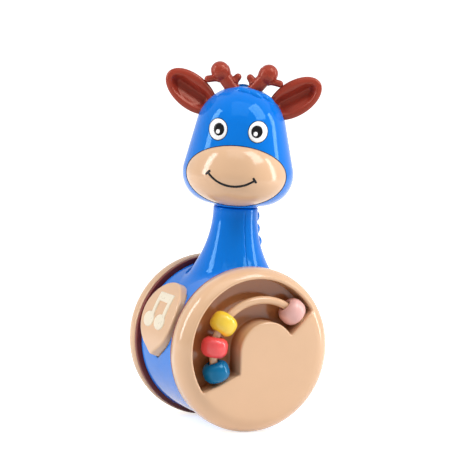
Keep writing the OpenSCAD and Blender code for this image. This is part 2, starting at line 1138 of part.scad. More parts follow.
function arc_pts(cx, cz, r, from, to, n) = [
  for (i = [0:n])
    let (t = from + (to - from)*i/n)
      [cx + r*cos(t), cz + r*sin(t)]
];

module head_2d(g) {
  polygon(concat(
    arc_pts(0, dome_z, dome_r + g, 90, side_dir, head_steps),
    arc_pts(cheek_x, cheek_z, cheek_r + g, side_dir, -90, head_steps),
    [[0, cheek_z - cheek_r - g]]
  ));
}

module head_solid(g) {
  rotate_extrude()
    head_2d(g);
}

// Head radius at a height above the neck
function head_rad(z) =
  z > side_top ? sqrt(max(0, pow(dome_r, 2) - pow(z - dome_z, 2))) :
  z < side_low ? cheek_x + sqrt(max(0, pow(cheek_r, 2) - pow(z - cheek_z, 2))) :
  cheek_x + cheek_r*side_n[0] - (z - side_low)*side_n[1]/side_n[0];

// Depth of the head's front at a place on the face
function head_depth(x, z) = sqrt(max(1, pow(head_rad(z), 2) - pow(x, 2)));

// Locks of hair over the crown
module tuft() {
  for (i = [0:4])
    translate([0, 0, dome_z])
      rotate([tuft_tilt[i], 0, 0])
        translate([0, 0, dome_r - tuft_sink])
          sphere(r = tuft_r[i]);
}

module head_skin() {
  difference() {
    union() {
      difference() {
        union() {
          head_solid(0);
          tuft();
        }
        head_solid(-head_t);
      }
      translate([0, 0, head_gap])
        cylinder(r = collar_r, h = collar_h);
    }
    translate([0, 0, -big/2])
      cylinder(r = spigot_r + head_gap, h = big/2 + head_gap + collar_h + head_t);
  }
}

module at_head_screws() {
  for (p = head_screws_at)
    translate([p[0], 0, p[1]])
      children();
}

module at_eye(side, turn) {
  translate([0, 0, dome_z])
    rotate([0, 0, side*turn])
      rotate([90 - eye_rise, 0, 0])
        children();
}

// A round face for the eyes, a little proud of the head
module eye_ball(g) {
  translate([0, 0, dome_z - eye_ball_drop])
    sphere(r = eye_ball_r + g, $fn = 2*$fn);
}

module pupil_plug(side, g) {
  at_eye(side, eye_turn - pupil_in)
    translate([0, 0, dome_r - pupil_deep])
      cylinder(r = pupil_r + g, h = big);
}

module eye(side) {
  difference() {
    intersection() {
      at_eye(side, eye_turn)
        translate([0, 0, dome_r - eye_in])
          cylinder(r = eye_r, h = big);
      eye_ball(0);
    }
    pupil_plug(side, 0);
  }
}

module pupil(side) {
  intersection() {
    pupil_plug(side, 0);
    eye_ball(pupil_proud);
  }
}

module eye_holes() {
  for (side = [-1, 1])
    at_eye(side, eye_turn)
      cylinder(r = eye_r + snug, h = big);
}

// Ear: a shallow oval dish, hollow side to the front
function ear_front(s) =
  ear_rim*sqrt(max(0, 1 - pow(s, 4)))
  - (ear_rim + ear_hollow)*pow(max(0, 1 - pow(s/ear_rim_share, 2)), 2)*ear_dish_share;
function ear_rear(s) = ear_back*sqrt(max(0, 1 - s*s));
function ring_s(i, n) = sin(90*i/n);

module ear_dish() {
  n = ear_segs;
  m = ear_rings;
  front = [
    for (i = [1:m])
      for (j = [0:n - 1])
        let (s = ring_s(i, m), t = 360*j/n)
          [ear_a*s*cos(t), -ear_front(s), ear_b*s*sin(t)]
  ];
  rear = [
    for (i = [1:m - 1])
      for (j = [0:n - 1])
        let (s = ring_s(i, m), t = 360*j/n)
          [ear_a*s*cos(t), ear_rear(s), ear_b*s*sin(t)]
  ];
  mids = [[0, -ear_front(0), 0], [0, ear_rear(0), 0]];
  fm = m*n + (m - 1)*n;
  faces = concat(
    [for (j = [0:n - 1]) [fm, (j + 1)%n, j]],
    [
      for (i = [0:m - 2])
        for (j = [0:n - 1])
          for (f = [
            [i*n + j, i*n + (j + 1)%n, (i + 1)*n + j],
            [i*n + (j + 1)%n, (i + 1)*n + (j + 1)%n, (i + 1)*n + j]
          ])
            f
    ],
    [for (j = [0:n - 1]) [fm + 1, m*n + j, m*n + (j + 1)%n]],
    [
      for (i = [0:m - 2])
        for (j = [0:n - 1])
          let (a = m*n + i*n, b = i == m - 2 ? (m - 1)*n : m*n + (i + 1)*n)
            for (f = [
              [a + j, b + j, a + (j + 1)%n],
              [a + (j + 1)%n, b + j, b + (j + 1)%n]
            ])
              f
    ]
  );
  polyhedron(points = concat(front, rear, mids), faces = faces);
}

module at_ear(side) {
  translate([side*ear_x, 0, ear_z])
    rotate([0, -side*ear_lift, 0])
      children();
}

// The ear's root in the head, grown by g
module ear_plug(side, g) {
  at_ear(side)
    rotate([0, -90*side, 0])
      rotate([0, 0, seam_turn])
        translate([0, 0, ear_a/3])
          cylinder(r = ear_plug_r + g, h = ear_plug_in - ear_a/3 + 4*g);
}

module ear(side) {
  difference() {
    at_ear(side)
      ear_dish();
    head_solid(snug);
  }
  ear_plug(side, 0);
}

module at_stem(side) {
  translate([side*stem_in_x, 0, stem_in_z])
    rotate([0, side*stem_dir, 0])
      rotate([0, 0, seam_turn])
        children();
}

function stem_at(side, share) = [
  side*(stem_in_x + (ball_x - stem_in_x)*share), 0, stem_in_z + (ball_z - stem_in_z)*share
];

module tine(side, share, tip) {
  from = stem_at(side, share);
  dx = side*tip[0] - from[0];
  dz = tip[1] - from[2];
  translate(from)
    rotate([0, atan2(dx, dz), 0]) {
      cylinder(r = tine_r, h = sqrt(dx*dx + dz*dz));
      translate([0, 0, sqrt(dx*dx + dz*dz)])
        sphere(r = tine_r);
    }
}

module antler(side) {
  at_stem(side) {
    cylinder(r = stem_r, h = stem_len*inner_share);
    translate([0, 0, stem_len*inner_share])
      cylinder(r1 = stem_r, r2 = ball_r*neck_share, h = stem_len*(1 - inner_share));
    translate([0, 0, stem_len])
      sphere(r = ball_r);
  }
  tine(side, inner_share, inner_tine);
  tine(side, outer_share, outer_tine);
}

module antler_hole(side) {
  at_stem(side)
    translate([0, 0, -lap])
      cylinder(r = stem_r + snug, h = stem_len*inner_share);
}

module side_holes() {
  for (side = [-1, 1]) {
    ear_plug(side, snug);
    antler_hole(side);
  }
}

// Muzzle: the head's own front, raised by a round bulge
function muzzle_p(s, t, lift) =
  let (x = muzzle_a*s*cos(t), z = muzzle_z + muzzle_b*s*sin(t))
    [x, -head_depth(x, z) - lift, z];
function bulge(s) = muzzle_bulge*sqrt(max(0, 1 - s*s*s));

module muzzle_solid(over, under) {
  n = muzzle_segs;
  m = muzzle_rings;
  out = [for (i = [1:m]) for (j = [0:n - 1]) muzzle_p(ring_s(i, m), 360*j/n, bulge(ring_s(i, m)) + over)];
  inn = [for (i = [1:m]) for (j = [0:n - 1]) muzzle_p(ring_s(i, m), 360*j/n, bulge(ring_s(i, m)) - under)];
  mids = [muzzle_p(0, 0, muzzle_bulge + over), muzzle_p(0, 0, muzzle_bulge - under)];
  o = m*n;
  fm = 2*m*n;
  faces = concat(
    [for (j = [0:n - 1]) [fm, (j + 1)%n, j]],
    [
      for (i = [0:m - 2])
        for (j = [0:n - 1])
          for (f = [
            [i*n + j, i*n + (j + 1)%n, (i + 1)*n + j],
            [i*n + (j + 1)%n, (i + 1)*n + (j + 1)%n, (i + 1)*n + j]
          ])
            f
    ],
    [for (j = [0:n - 1]) [fm + 1, o + j, o + (j + 1)%n]],
    [
      for (i = [0:m - 2])
        for (j = [0:n - 1])
          for (f = [
            [o + i*n + j, o + (i + 1)*n + j, o + i*n + (j + 1)%n],
            [o + i*n + (j + 1)%n, o + (i + 1)*n + j, o + (i + 1)*n + (j + 1)%n]
          ])
            f
    ],
    [
      for (j = [0:n - 1])
        let (a = (m - 1)*n + j, b = (m - 1)*n + (j + 1)%n)
          for (f = [[a, b, o + a], [b, o + b, o + a]])
            f
    ]
  );
  polyhedron(points = concat(out, inn, mids), faces = faces);
}

module muzzle_opening() {
  translate([0, -muzzle_front_y, muzzle_z])
    rotate([90, 0, 0])
      linear_extrude(big)
        scale([muzzle_a + muzzle_fit, muzzle_b + muzzle_fit])
          circle(r = 1, $fn = muzzle_segs);
}

module smile_2d() {
  r = (smile_a*smile_a + smile_sag*smile_sag)/(2*smile_sag);
  half = asin(smile_a/r);
  translate([smile_off, smile_z])
    rotate([0, 0, smile_tilt]) {
      intersection() {
        translate([0, r - smile_sag])
          difference() {
            circle(r = r + smile_w/2);
            circle(r = r - smile_w/2);
          }
        translate([0, r - smile_sag])
          polygon([[0, 0], [-2*r*sin(half), -2*r*cos(half)], [0, -2*r], [2*r*sin(half), -2*r*cos(half)]]);
      }
      for (side = [-1, 1])
        translate([side*smile_a, 0])
          rotate([0, 0, -side*tick_dir])
            square([tick_l, smile_w], center = true);
    }
}

module smile_cut() {
  rotate([90, 0, 0])
    linear_extrude(big)
      smile_2d();
}

module on_muzzle_front() {
  intersection() {
    children();
    smile_cut();
  }
}

module head_front_shell() on_neck() color(body_blue) {
  difference() {
    union() {
      intersection() {
        head_skin();
        front_of();
      }
      intersection() {
        head_solid(-head_t/2);
        union() {
          at_head_screws()
            along_front()
                cylinder(r = tower_r, h = head_boss_len);
          for (p = head_screws_at)
            translate([p[0], -head_boss_len, p[1]])
              rotate([0, p[0] == 0 ? -90 : p[0] < 0 ? 180 : 0, 0])
                translate([0, 0, -rib_t/2])
                  cube([big, head_boss_len, rib_t]);
        }
      }
    }
    muzzle_opening();
    eye_holes();
    side_holes();
    at_head_screws()
      along_front()
          translate([0, 0, -lap])
            cylinder(r = screw_pilot, h = head_boss_len - head_t/2);
  }
}

module head_rear_shell() on_neck() color(body_blue) {
  difference() {
    union() {
      intersection() {
        head_skin();
        rear_of();
      }
      intersection() {
        head_solid(-head_t/2);
        at_head_screws()
          along_y()
            cylinder(r = tower_r, h = big);
      }
    }
    side_holes();
    at_head_screws()
      along_y() {
        translate([0, 0, -lap])
          cylinder(r = screw_hole, h = head_web + 2*lap);
        translate([0, 0, head_web])
          cylinder(r = screw_head_hole, h = big);
      }
  }
}

module head_screws() on_neck() color(steel) {
  at_head_screws()
    along_y()
      translate([0, 0, head_web])
        screw(screw_r - snug, head_screw_len, screw_head_r, screw_head_t);
}

module muzzle() on_neck() color(pale)
  muzzle_solid(0, muzzle_t);

module smile_inlay() on_neck() color(dark) {
  difference() {
    on_muzzle_front()
      muzzle_solid(smile_proud, 0);
    muzzle_solid(0, muzzle_t);
  }
}

module left_eye() on_neck() color(white) eye(1);
module right_eye() on_neck() color(white) eye(-1);
module left_pupil() on_neck() color(dark) pupil(1);
module right_pupil() on_neck() color(dark) pupil(-1);
module left_ear() on_neck() color(rust) ear(1);
module right_ear() on_neck() color(rust) ear(-1);
module left_antler() on_neck() color(rust) antler(1);
module right_antler() on_neck() color(rust) antler(-1);

module button_cells() color(steel) {
  for (i = [-1:1])
    translate([i*cell_len, cell_y, axle_z])
      along_x()
        translate([0, 0, cell_gap - cell_len/2])
          cylinder(r = cell_r, h = cell_len - 2*cell_gap);
}

module cell_contacts() color(brass) {
  for (side = [-1, 1])
    translate([side*(box_x - contact_t/2 - snug), cell_y, axle_z])
      cube([contact_t, contact_w, contact_h], center = true);
}

body_front_shell();
body_rear_shell();
counterweight();
body_screws();
axle();
axle_washers();
axle_nuts();
sound_board();
board_screws();
tact_switch();
piezo_sounder();
button_cells();
cell_contacts();
battery_door();
door_screws();
music_button();
button_note();
switch_plunger();
head_front_shell();
head_rear_shell();
head_screws();
muzzle();
smile_inlay();
left_eye();
right_eye();
left_pupil();
right_pupil();
left_ear();
right_ear();
left_antler();
right_antler();
left_wheel_cover();
left_wheel_plate();
left_bead_rail();
left_wheel_screws();
left_bead_yellow();
left_bead_red();
left_bead_blue();
left_bead_pink();
right_wheel_cover();
right_wheel_plate();
right_bead_rail();
right_wheel_screws();
right_bead_yellow();
right_bead_red();
right_bead_blue();
right_bead_pink();
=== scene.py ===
# %% [markdown]
# A toy deer that rocks between two bead wheels
#
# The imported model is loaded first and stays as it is: every new piece is built around it,
# in the same frame. Lengths below are written in millimetres, because the toy is small,
# and one factor turns them into Blender's metres when a mesh is made.

# %% Load the frame
import json
import math

import bmesh
import bpy
import numpy as np
from mathutils import Matrix


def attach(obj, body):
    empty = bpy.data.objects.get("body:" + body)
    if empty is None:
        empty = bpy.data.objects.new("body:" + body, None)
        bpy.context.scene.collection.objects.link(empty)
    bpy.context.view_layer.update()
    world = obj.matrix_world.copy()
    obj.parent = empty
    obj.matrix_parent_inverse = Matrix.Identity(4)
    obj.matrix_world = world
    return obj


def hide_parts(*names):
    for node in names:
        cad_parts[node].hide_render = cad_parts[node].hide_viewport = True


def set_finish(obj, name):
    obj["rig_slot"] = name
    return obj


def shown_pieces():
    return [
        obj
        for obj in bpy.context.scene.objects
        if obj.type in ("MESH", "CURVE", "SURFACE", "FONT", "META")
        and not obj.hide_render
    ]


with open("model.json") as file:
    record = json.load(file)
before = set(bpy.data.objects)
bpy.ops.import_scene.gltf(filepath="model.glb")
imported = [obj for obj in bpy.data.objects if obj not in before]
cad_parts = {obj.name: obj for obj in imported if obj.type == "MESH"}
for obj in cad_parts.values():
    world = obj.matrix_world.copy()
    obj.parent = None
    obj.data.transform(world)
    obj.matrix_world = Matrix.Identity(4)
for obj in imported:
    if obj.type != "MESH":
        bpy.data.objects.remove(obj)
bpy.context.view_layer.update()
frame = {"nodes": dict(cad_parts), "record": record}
nodes = frame["nodes"]
MM = 0.001

# %% [markdown]
# From a formula to a mesh
#
# A moulded skin is a smooth function of two parameters, so a piece is a grid of points that
# numpy works out in one go. A ring is a grid whose last column joins the first, as on
# anything turned. Several grids can make one piece; points that meet are merged, so seams
# and poles close.

# %% Mesh helpers
MERGE = 0.002
TINY = 1e-6


def grid_quads(rows, cols, ring):
    """Corner numbers of a rows x cols grid counted row by row; a ring also joins the last
    column to the first."""
    i, j = np.meshgrid(np.arange(rows - 1), np.arange(cols if ring else cols - 1), indexing="ij")
    k = (j + 1) % cols
    corners = [i * cols + j, i * cols + k, (i + 1) * cols + k, (i + 1) * cols + j]
    return np.stack(corners, -1).reshape(-1, 4)


def shown(name, data):
    """A new object with some data, linked to the scene."""
    made = bpy.data.objects.new(name, data)
    bpy.context.scene.collection.objects.link(made)
    return made


def make_piece(name, sheets, body, slot, stands_for=(), crease=50):
    """One smooth object from sheets [(points (rows, cols, 3) in mm, ring)], riding on a body.
    Its faces are turned outwards, which a positive volume shows."""
    points, quads, base = [], [], 0
    for grid, ring in sheets:
        rows, cols = grid.shape[:2]
        points.append(grid.reshape(-1, 3) * MM)
        quads.append(grid_quads(rows, cols, ring) + base)
        base += rows * cols
    mesh = bpy.data.meshes.new(name)
    mesh.from_pydata(np.concatenate(points).tolist(), [], np.concatenate(quads).tolist())
    bm = bmesh.new()
    bm.from_mesh(mesh)
    bmesh.ops.remove_doubles(bm, verts=bm.verts, dist=MERGE * MM)
    bmesh.ops.recalc_face_normals(bm, faces=bm.faces)
    if bm.calc_volume(signed=True) < 0:
        bmesh.ops.reverse_faces(bm, faces=bm.faces)
    bm.to_mesh(mesh)
    bm.free()
    mesh.polygons.foreach_set("use_smooth", np.ones(len(mesh.polygons), bool))
    mesh.set_sharp_from_angle(angle=math.radians(crease))
    piece = shown(name, mesh)
    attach(piece, body)
    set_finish(piece, slot)
    if stands_for:
        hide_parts(*stands_for)
    print(name, len(mesh.polygons), "faces on", body)


# %% Curve helpers
def angles(start, end, n):
    """n angles from start to end degrees, ends included, in radians."""
    return np.radians(np.linspace(start, end, n))


def around(n):
    """n angles in radians that share out a full turn, for a ring that joins its own start."""
    return np.radians(np.linspace(0, 360, n, endpoint=False))


def unit(deg):
    """Cosine and sine of an angle in degrees: a step of length 1 that way."""
    return np.array([math.cos(math.radians(deg)), math.sin(math.radians(deg))])


def unit_rows(v):
    """Each row divided by its own length."""
    return v / np.linalg.norm(v, axis=1)[:, None]


def axes(p):
    """The x, y and z of an array of points."""
    return np.moveaxis(p, -1, 0)


def ease(n):
    """n values from 0 to 1 that crowd together towards 1: sin of a quarter turn."""
    return np.sin(np.linspace(0, np.pi / 2, n))


def smooth(v):
    """0 to 1 with level ends: v^2 (3 - 2 v)."""
    return v**2 * (3 - 2 * v)


def arc(cx, cz, r, start, end, n):
    """n points of a circle arc from start to end degrees, ends included."""
    a = angles(start, end, n)
    return np.stack([cx + r * np.cos(a), cz + r * np.sin(a)], -1)


def resample(path, n):
    """n points spaced evenly along a polyline, ends included."""
    s = np.concatenate([[0], np.cumsum(np.linalg.norm(np.diff(path, axis=0), axis=1))])
    t = np.linspace(0, s[-1], n)
    return np.stack([np.interp(t, s, path[:, 0]), np.interp(t, s, path[:, 1])], -1)


def respaced(loop, n):
    """n points spaced evenly round a loop that closes on its first point."""
    return resample(np.concatenate([loop, loop[:1]]), n + 1)[:-1]


# %% Sheet helpers
def turned(profile, steps, start=0.0, sweep=360.0):
    """A profile of (radius, height) pairs carried round z: x = r cos a, y = r sin a."""
    r, z = np.asarray(profile, float).T[..., None]
    full = sweep == 360.0
    a = np.radians(start + np.linspace(0, sweep, steps, endpoint=not full))
    return np.stack([r * np.cos(a), r * np.sin(a), z + 0 * a], -1), full


def lift(xy, z):
    """Plan points with a height added: one for all, or one for each."""
    z = np.broadcast_to(np.asarray(z, float), xy.shape[:-1])
    return np.concatenate([xy, z[..., None]], -1)


def carried(sheets, place, *given):
    """The same sheets with all their points carried by a map."""
    return [(place(grid, *given), ring) for grid, ring in sheets]


def backed(grid, ring, push=(0, 0, 0)):
    """A sheet closed behind: a ring sheet is drawn in to the middle of its last row, an open
    one gets a copy moved by push inside the same border."""
    if ring:
        middle = np.repeat(grid[-1:].mean(1, keepdims=True), grid.shape[1], 1)
        return [(np.concatenate([grid, middle]), True)]
    back = grid.copy()
    back[1:-1, 1:-1] += push
    return [(grid, False), (back, False)]


def walled(outer, inner):
    """A wall from two matching sheets, with strips that join them along the first row and
    both side columns."""
    cuts = (np.s_[0], np.s_[:, 0], np.s_[:, -1])
    strips = [np.stack([outer[cut], inner[cut]]) for cut in cuts]
    return [(grid, False) for grid in [outer, inner] + strips]


# %% [markdown]
# Where things sit
#
# Each assembly has its own handy frame: a wheel is drawn flat with z out of the toy, the
# button with z along its press, the head facing -y above the neck. These three maps carry
# whole arrays of points from there into the toy's frame. The wheels are named as the camera
# sees them, and the sides of the face as the deer's own.

# %% Places
AXLE_Z, NECK_TOP, HEAD_YAW, BUTTON_EL = 46.0, 122.27, 60.0, 18.7
WHEELS = ((1, "right"), (-1, "left"))
FACE_SIDES = ((1, "left"), (-1, "right"))


def on_wheel(p, side):
    """Wheel frame to toy frame: (x, y, z) to (side z, side x, axle + y)."""
    x, y, z = axes(p)
    return np.stack([side * z, side * x, AXLE_Z + y], -1)


def on_neck(p):
    """Head frame to toy frame: a turn by the head's yaw and a lift to the top of the neck."""
    x, y, z = axes(p)
    c, s = unit(HEAD_YAW)
    return np.stack([c * x - s * y, s * x + c * y, z + NECK_TOP], -1)


def at_button(p):
    """Button frame to toy frame: z tips down from straight up to the button's elevation."""
    x, y, z = axes(p)
    c, s = unit(90 - BUTTON_EL)
    return np.stack([x, c * y - s * z, s * y + c * z + AXLE_Z], -1)


# %% [markdown]
# Wheel covers
#
# Each pale cover is a thick round shell with a sunk pocket for the beads. The pocket's
# outline is found first as a chain of arcs and lines, its corners softened by a Gaussian
# along the line. Everything else follows that outline: a rounded lip, the wall, the floor's
# fillet and, outwards, the face that runs over the big rim rounding to the back edge. A cut
# with a boolean would be quicker to write, but would leave the lip sharp.

# %% Pocket outline
WHEEL_R, RIM_ROUND, FACE_Z, BACK_Z = 46.0, 10.0, 39.0, 24.6
POCKET_C, POCKET_R = np.array([0.3, 1.2]), 39.2
HUB_C, HUB_R = np.array([6.3, 0.3]), 16.6
WALL_A, WALL_A_DIR, WALL_A_IN = np.array([27.5, 17.15]), 48.0, 9.3
WALL_B, WALL_B_DIR, WALL_B_IN = np.array([-22.4, -18.6]), 25.3, 14.0
CORNER_SOFT, FINE_POINTS, HALF = 0.75, 4000, 300


def bearing(p):
    """Direction of a plan vector in degrees."""
    return math.degrees(math.atan2(p[1], p[0]))


def line_to_circle(p, d, c, r):
    """First point of the ray p + t d, t > 0, on the circle of centre c and radius r."""
    q = p - c
    b, k = (q * d).sum(-1), (q * q).sum(-1) - r * r
    return p + (np.sqrt(b * b - k) - b)[..., None] * d


def soften(loop, sigma):
    """A closed, evenly spaced loop convolved with a Gaussian of sigma mm along its length, by
    the Fourier rule: the wave of number w is scaled by exp(-(sigma w)^2 / 2)."""
    step = np.linalg.norm(np.roll(loop, -1, 0) - loop, axis=1).mean()
    w = np.fft.fftfreq(len(loop), step) * 2 * np.pi
    waves = np.fft.fft(loop[:, 0] + 1j * loop[:, 1]) * np.exp(-0.5 * (sigma * w) ** 2)
    return np.fft.ifft(waves).view(float).reshape(-1, 2)


def pocket_outline():
    """The pocket's closed outline, run anticlockwise: half of it from the middle of the right
    end wall over the outer arc to the middle of the lower wall, and half back round the island."""
    a_in = WALL_A - WALL_A_IN * unit(WALL_A_DIR)
    b_in = WALL_B + WALL_B_IN * unit(WALL_B_DIR)
    a_out = line_to_circle(WALL_A, unit(WALL_A_DIR), POCKET_C, POCKET_R)
    b_out = line_to_circle(WALL_B, -unit(WALL_B_DIR), POCKET_C, POCKET_R)
    begin, end = (bearing(p - POCKET_C) % 360 for p in (a_out, b_out))
    outer = arc(*POCKET_C, POCKET_R, begin, end, 400)
    hub = arc(*HUB_C, HUB_R, 180, bearing(a_in - HUB_C), 200)
    loop = soften(respaced(np.concatenate([outer, [b_in], hub, [a_in]]), FINE_POINTS), CORNER_SOFT)
    mid_a = np.argmin(np.linalg.norm(loop - (a_in + a_out) / 2, axis=1))
    loop = np.roll(loop, -mid_a, 0)
    mid_b = np.argmin(np.linalg.norm(loop - (b_in + b_out) / 2, axis=1))
    closed = np.concatenate([loop, loop[:1]])
    halves = closed[:mid_b + 1], closed[mid_b:]
    return np.concatenate([resample(half, HALF + 1)[:-1] for half in halves])


outline = pocket_outline()
tangent = unit_rows(np.roll(outline, -1, 0) - np.roll(outline, 1, 0))
outward = np.stack([tangent[:, 1], -tangent[:, 0]], -1)
print("pocket outline", len(outline), "points, box", outline.min(0).round(1),
      outline.max(0).round(1))

# %% Cover surface
FLOOR_Z, TUB_LOW, TUB_WALL, COVER_WALL = 25.5, 24.2, 1.5, 2.2
LIP, FOOT, BACK_BEVEL, SKIRT_R = 1.1, 0.8, 0.5, 43.8
STEEPEST, RAY_DIR, JOIN_SHARE = 0.95, -60, 0.16


def face_height(r, inset=0.0):
    """Height of the cover's face over the radius: flat, then the rim's quarter circle; inset
    gives the inner skin."""
    over = np.clip(r - (WHEEL_R - RIM_ROUND), 0, RIM_ROUND - inset)
    return FACE_Z - RIM_ROUND + np.sqrt(np.maximum((RIM_ROUND - inset) ** 2 - over**2, 0))


def rim_points():
    """The rim point that each outline point runs out to: along one fixed direction from the
    island's half, by its own bearing from the outer half, with an eased change between."""
    ray = line_to_circle(outline[HALF:], unit(RAY_DIR), np.zeros(2), WHEEL_R)
    begin = bearing(line_to_circle(outline[0], unit(RAY_DIR), np.zeros(2), WHEEL_R))
    end = bearing(ray[0]) + 360
    polar = np.degrees(np.unwrap(np.arctan2(outline[:HALF, 1], outline[:HALF, 0])))
    share = np.linspace(0, 1, HALF, endpoint=False)
    blend = smooth(np.clip(np.minimum(share, 1 - share) / JOIN_SHARE, 0, 1))
    plain = begin + share * (end - begin)
    band = np.radians(plain + (polar - plain) * blend)
    return np.concatenate([WHEEL_R * np.stack([np.cos(band), np.sin(band)], -1), ray])


def wheel_cover_sheets():
    """One ring sheet from the pocket's floor up the wall, round the lip, over the face and rim,
    and back inside; a second and third fill the floor and the tub's underside between the
    outline's two halves."""
    probe = outline + outward * LIP
    r = np.linalg.norm(probe, axis=1)
    over = np.clip(r - (WHEEL_R - RIM_ROUND), 0, RIM_ROUND * STEEPEST)
    slope = over / np.sqrt(RIM_ROUND**2 - over**2) * (probe * outward).sum(1) / r
    tilt = np.arctan(np.maximum(slope, 0))
    start = outline + outward * (LIP * (1 + np.sin(tilt)))[:, None]
    centre_z = face_height(np.linalg.norm(start, axis=1)) - LIP * np.cos(tilt)
    rim = rim_points()
    inside, tub = rim * (SKIRT_R / WHEEL_R), outline + outward * TUB_WALL
    rows = [lift(outline - outward * FOOT * (1 - np.sin(t)), FLOOR_Z + FOOT * (1 - np.cos(t)))
            for t in angles(0, 90, 6)[:-1]]
    rows += [lift(outline, FLOOR_Z + FOOT + t * (centre_z - FLOOR_Z - FOOT))
             for t in np.linspace(0, 1, 10)]
    for t in np.linspace(0, 1, 8)[1:]:
        chi = np.pi + t * (np.pi / 2 - tilt - np.pi)
        rows.append(lift(outline + outward * (LIP * (1 + np.cos(chi)))[:, None],
                         centre_z + LIP * np.sin(chi)))
    for v in ease(30)[1:]:
        xy = start + v * (rim - start)
        rows.append(lift(xy, face_height(np.linalg.norm(xy, axis=1))))
    rows += [lift(rim, BACK_Z + BACK_BEVEL), lift(rim * (1 - BACK_BEVEL / WHEEL_R), BACK_Z),
             lift(inside, BACK_Z)]
    for v in ease(8)[::-1]:
        xy = tub + v * (inside - tub)
        rows.append(lift(xy, face_height(np.linalg.norm(xy, axis=1), COVER_WALL)))
    rows.append(lift(tub, TUB_LOW))
    w = np.linspace(0, 1, 9)[:, None, None]
    far = np.arange(HALF + 1)
    near = (2 * HALF - far) % (2 * HALF)
    fills = [lift((1 - w) * loop[far] + w * loop[near], z)
             for loop, z in ((outline - outward * FOOT, FLOOR_Z), (tub, TUB_LOW))]
    return [(np.stack(rows), True)] + [(fill, False) for fill in fills]


for side, name in WHEELS:
    make_piece(f"{name}_cover_moulding", carried(wheel_cover_sheets(), on_wheel, side),
               f"{name}_wheel", "beige_plastic", [f"{name}_wheel_cover"])

# %% [markdown]
# Back plates
#
# The dark plate closes the wheel and shows as a ring behind it. It is a turned part, so its
# profile with small rounded corners goes round the axle. A plain disc would do for the ring
# alone, but the step and hub show what holds it in the cover.

# %% Plate moulding
PLATE_Z, PLATE_R, PLATE_EDGE, PLATE_UP = 22.4, 45.6, 0.7, 23.9
BORE_R, BORE_BEVEL, HUB_OUT, HUB_TOP, PLATE_MID = 3.05, 0.3, 6.5, 32.0, 30.0
STEP_R, STEP_IN, STEP_TOP, STEP_LOW = 43.6, 42.3, 27.6, BACK_Z - 0.1


def plate_profile():
    """Half section of the plate: hub bore, inner face, rounded rim and the step inside the
    cover."""
    return np.concatenate([
        [[BORE_R, HUB_TOP], [BORE_R, PLATE_Z + BORE_BEVEL], [BORE_R + BORE_BEVEL, PLATE_Z],
         [PLATE_MID, PLATE_Z]],
        arc(PLATE_R - PLATE_EDGE, PLATE_Z + PLATE_EDGE, PLATE_EDGE, -90, 0, 7),
        [[PLATE_R, STEP_LOW], [STEP_R, STEP_LOW], [STEP_R, STEP_TOP], [STEP_IN, STEP_TOP],
         [STEP_IN, PLATE_UP], [HUB_OUT, PLATE_UP], [HUB_OUT, HUB_TOP], [BORE_R, HUB_TOP]]])


for side, name in WHEELS:
    make_piece(f"{name}_plate_moulding", carried([turned(plate_profile(), 160)], on_wheel, side),
               f"{name}_wheel", "dark_plastic", [f"{name}_wheel_plate"], crease=35)

# %% [markdown]
# Beads and their rail
#
# A bead is a short barrel with a wide hole; its section is a rounded rectangle turned about
# the hole. The rail is a round rod bent to one arc, so a circle carried along the arc. Both
# could be stock shapes with a bevel, but then the bead's belly would be too flat or too round.

# %% Beads
RAIL_C, RAIL_R, RAIL_Z, ROD_R = np.array([4.5, -0.5]), 29.0, 33.5, 2.2
RAIL_FROM, RAIL_TO = 29.5, 222.5
BEAD_R, BEAD_LEN, BEAD_HOLE, BEAD_MOUTH, BEAD_POWER = 7.5, 12.0, 2.9, 0.5, 2.7
# each bead's angle on the rail at rest, in degrees
BEADS = {"blue": 202.0, "red": 174.2, "yellow": 146.4, "pink": 51.5}
BEAD_SAG = RAIL_R - math.sqrt(RAIL_R**2 - (BEAD_LEN / 2) ** 2)


def bead_profile():
    """Half section of a bead: a squarish oval, |x/a|^2.7 + |z/b|^2.7 = 1, with a rounded mouth
    on the hole."""
    t = angles(-90, 90, 61)
    x = np.abs(np.cos(t)) ** (2 / BEAD_POWER) * BEAD_R
    z = np.sign(np.sin(t)) * np.abs(np.sin(t)) ** (2 / BEAD_POWER) * (BEAD_LEN / 2)
    mouth_x = BEAD_HOLE + BEAD_MOUTH
    skin = np.stack([x, z], -1)[x > mouth_x]
    top = arc(mouth_x, skin[:, 1].max() - BEAD_MOUTH, BEAD_MOUTH, 90, 180, 5)
    low = arc(mouth_x, skin[:, 1].min() + BEAD_MOUTH, BEAD_MOUTH, 180, 270, 5)
    return np.concatenate([skin, top, low, skin[:1]])


def bead_sheets(place):
    """A bead turned about the rail's tangent at an angle, its middle half a sag inside the
    rail's line."""
    grid, ring = turned(bead_profile(), 72)
    across, high, along = axes(grid)
    c, s = unit(place)
    out = RAIL_R - BEAD_SAG / 2 + across
    xy = np.stack([RAIL_C[0] + c * out - s * along, RAIL_C[1] + s * out + c * along], -1)
    return [(lift(xy, RAIL_Z + high), ring)]


for side, name in WHEELS:
    for hue, place in BEADS.items():
        make_piece(f"{name}_{hue}_bead", carried(bead_sheets(place), on_wheel, side),
                   f"{name}_bead_{hue}_body", f"bead_{hue}", [f"{name}_bead_{hue}"], crease=60)


# %% Rails
def rail_sheets():
    """A circle of the rod's radius carried along the rail's arc, each end drawn in to a point."""
    a, b = angles(RAIL_FROM, RAIL_TO, 90)[:, None], around(28)
    reach = RAIL_R + ROD_R * np.cos(b)
    xy = RAIL_C + np.stack([reach * np.cos(a), reach * np.sin(a)], -1)
    rod = lift(xy, RAIL_Z + ROD_R * np.sin(b))
    tips = np.repeat(rod[[0, -1]].mean(1, keepdims=True), len(b), 1)
    return [(np.concatenate([tips[:1], rod, tips[1:]]), True)]


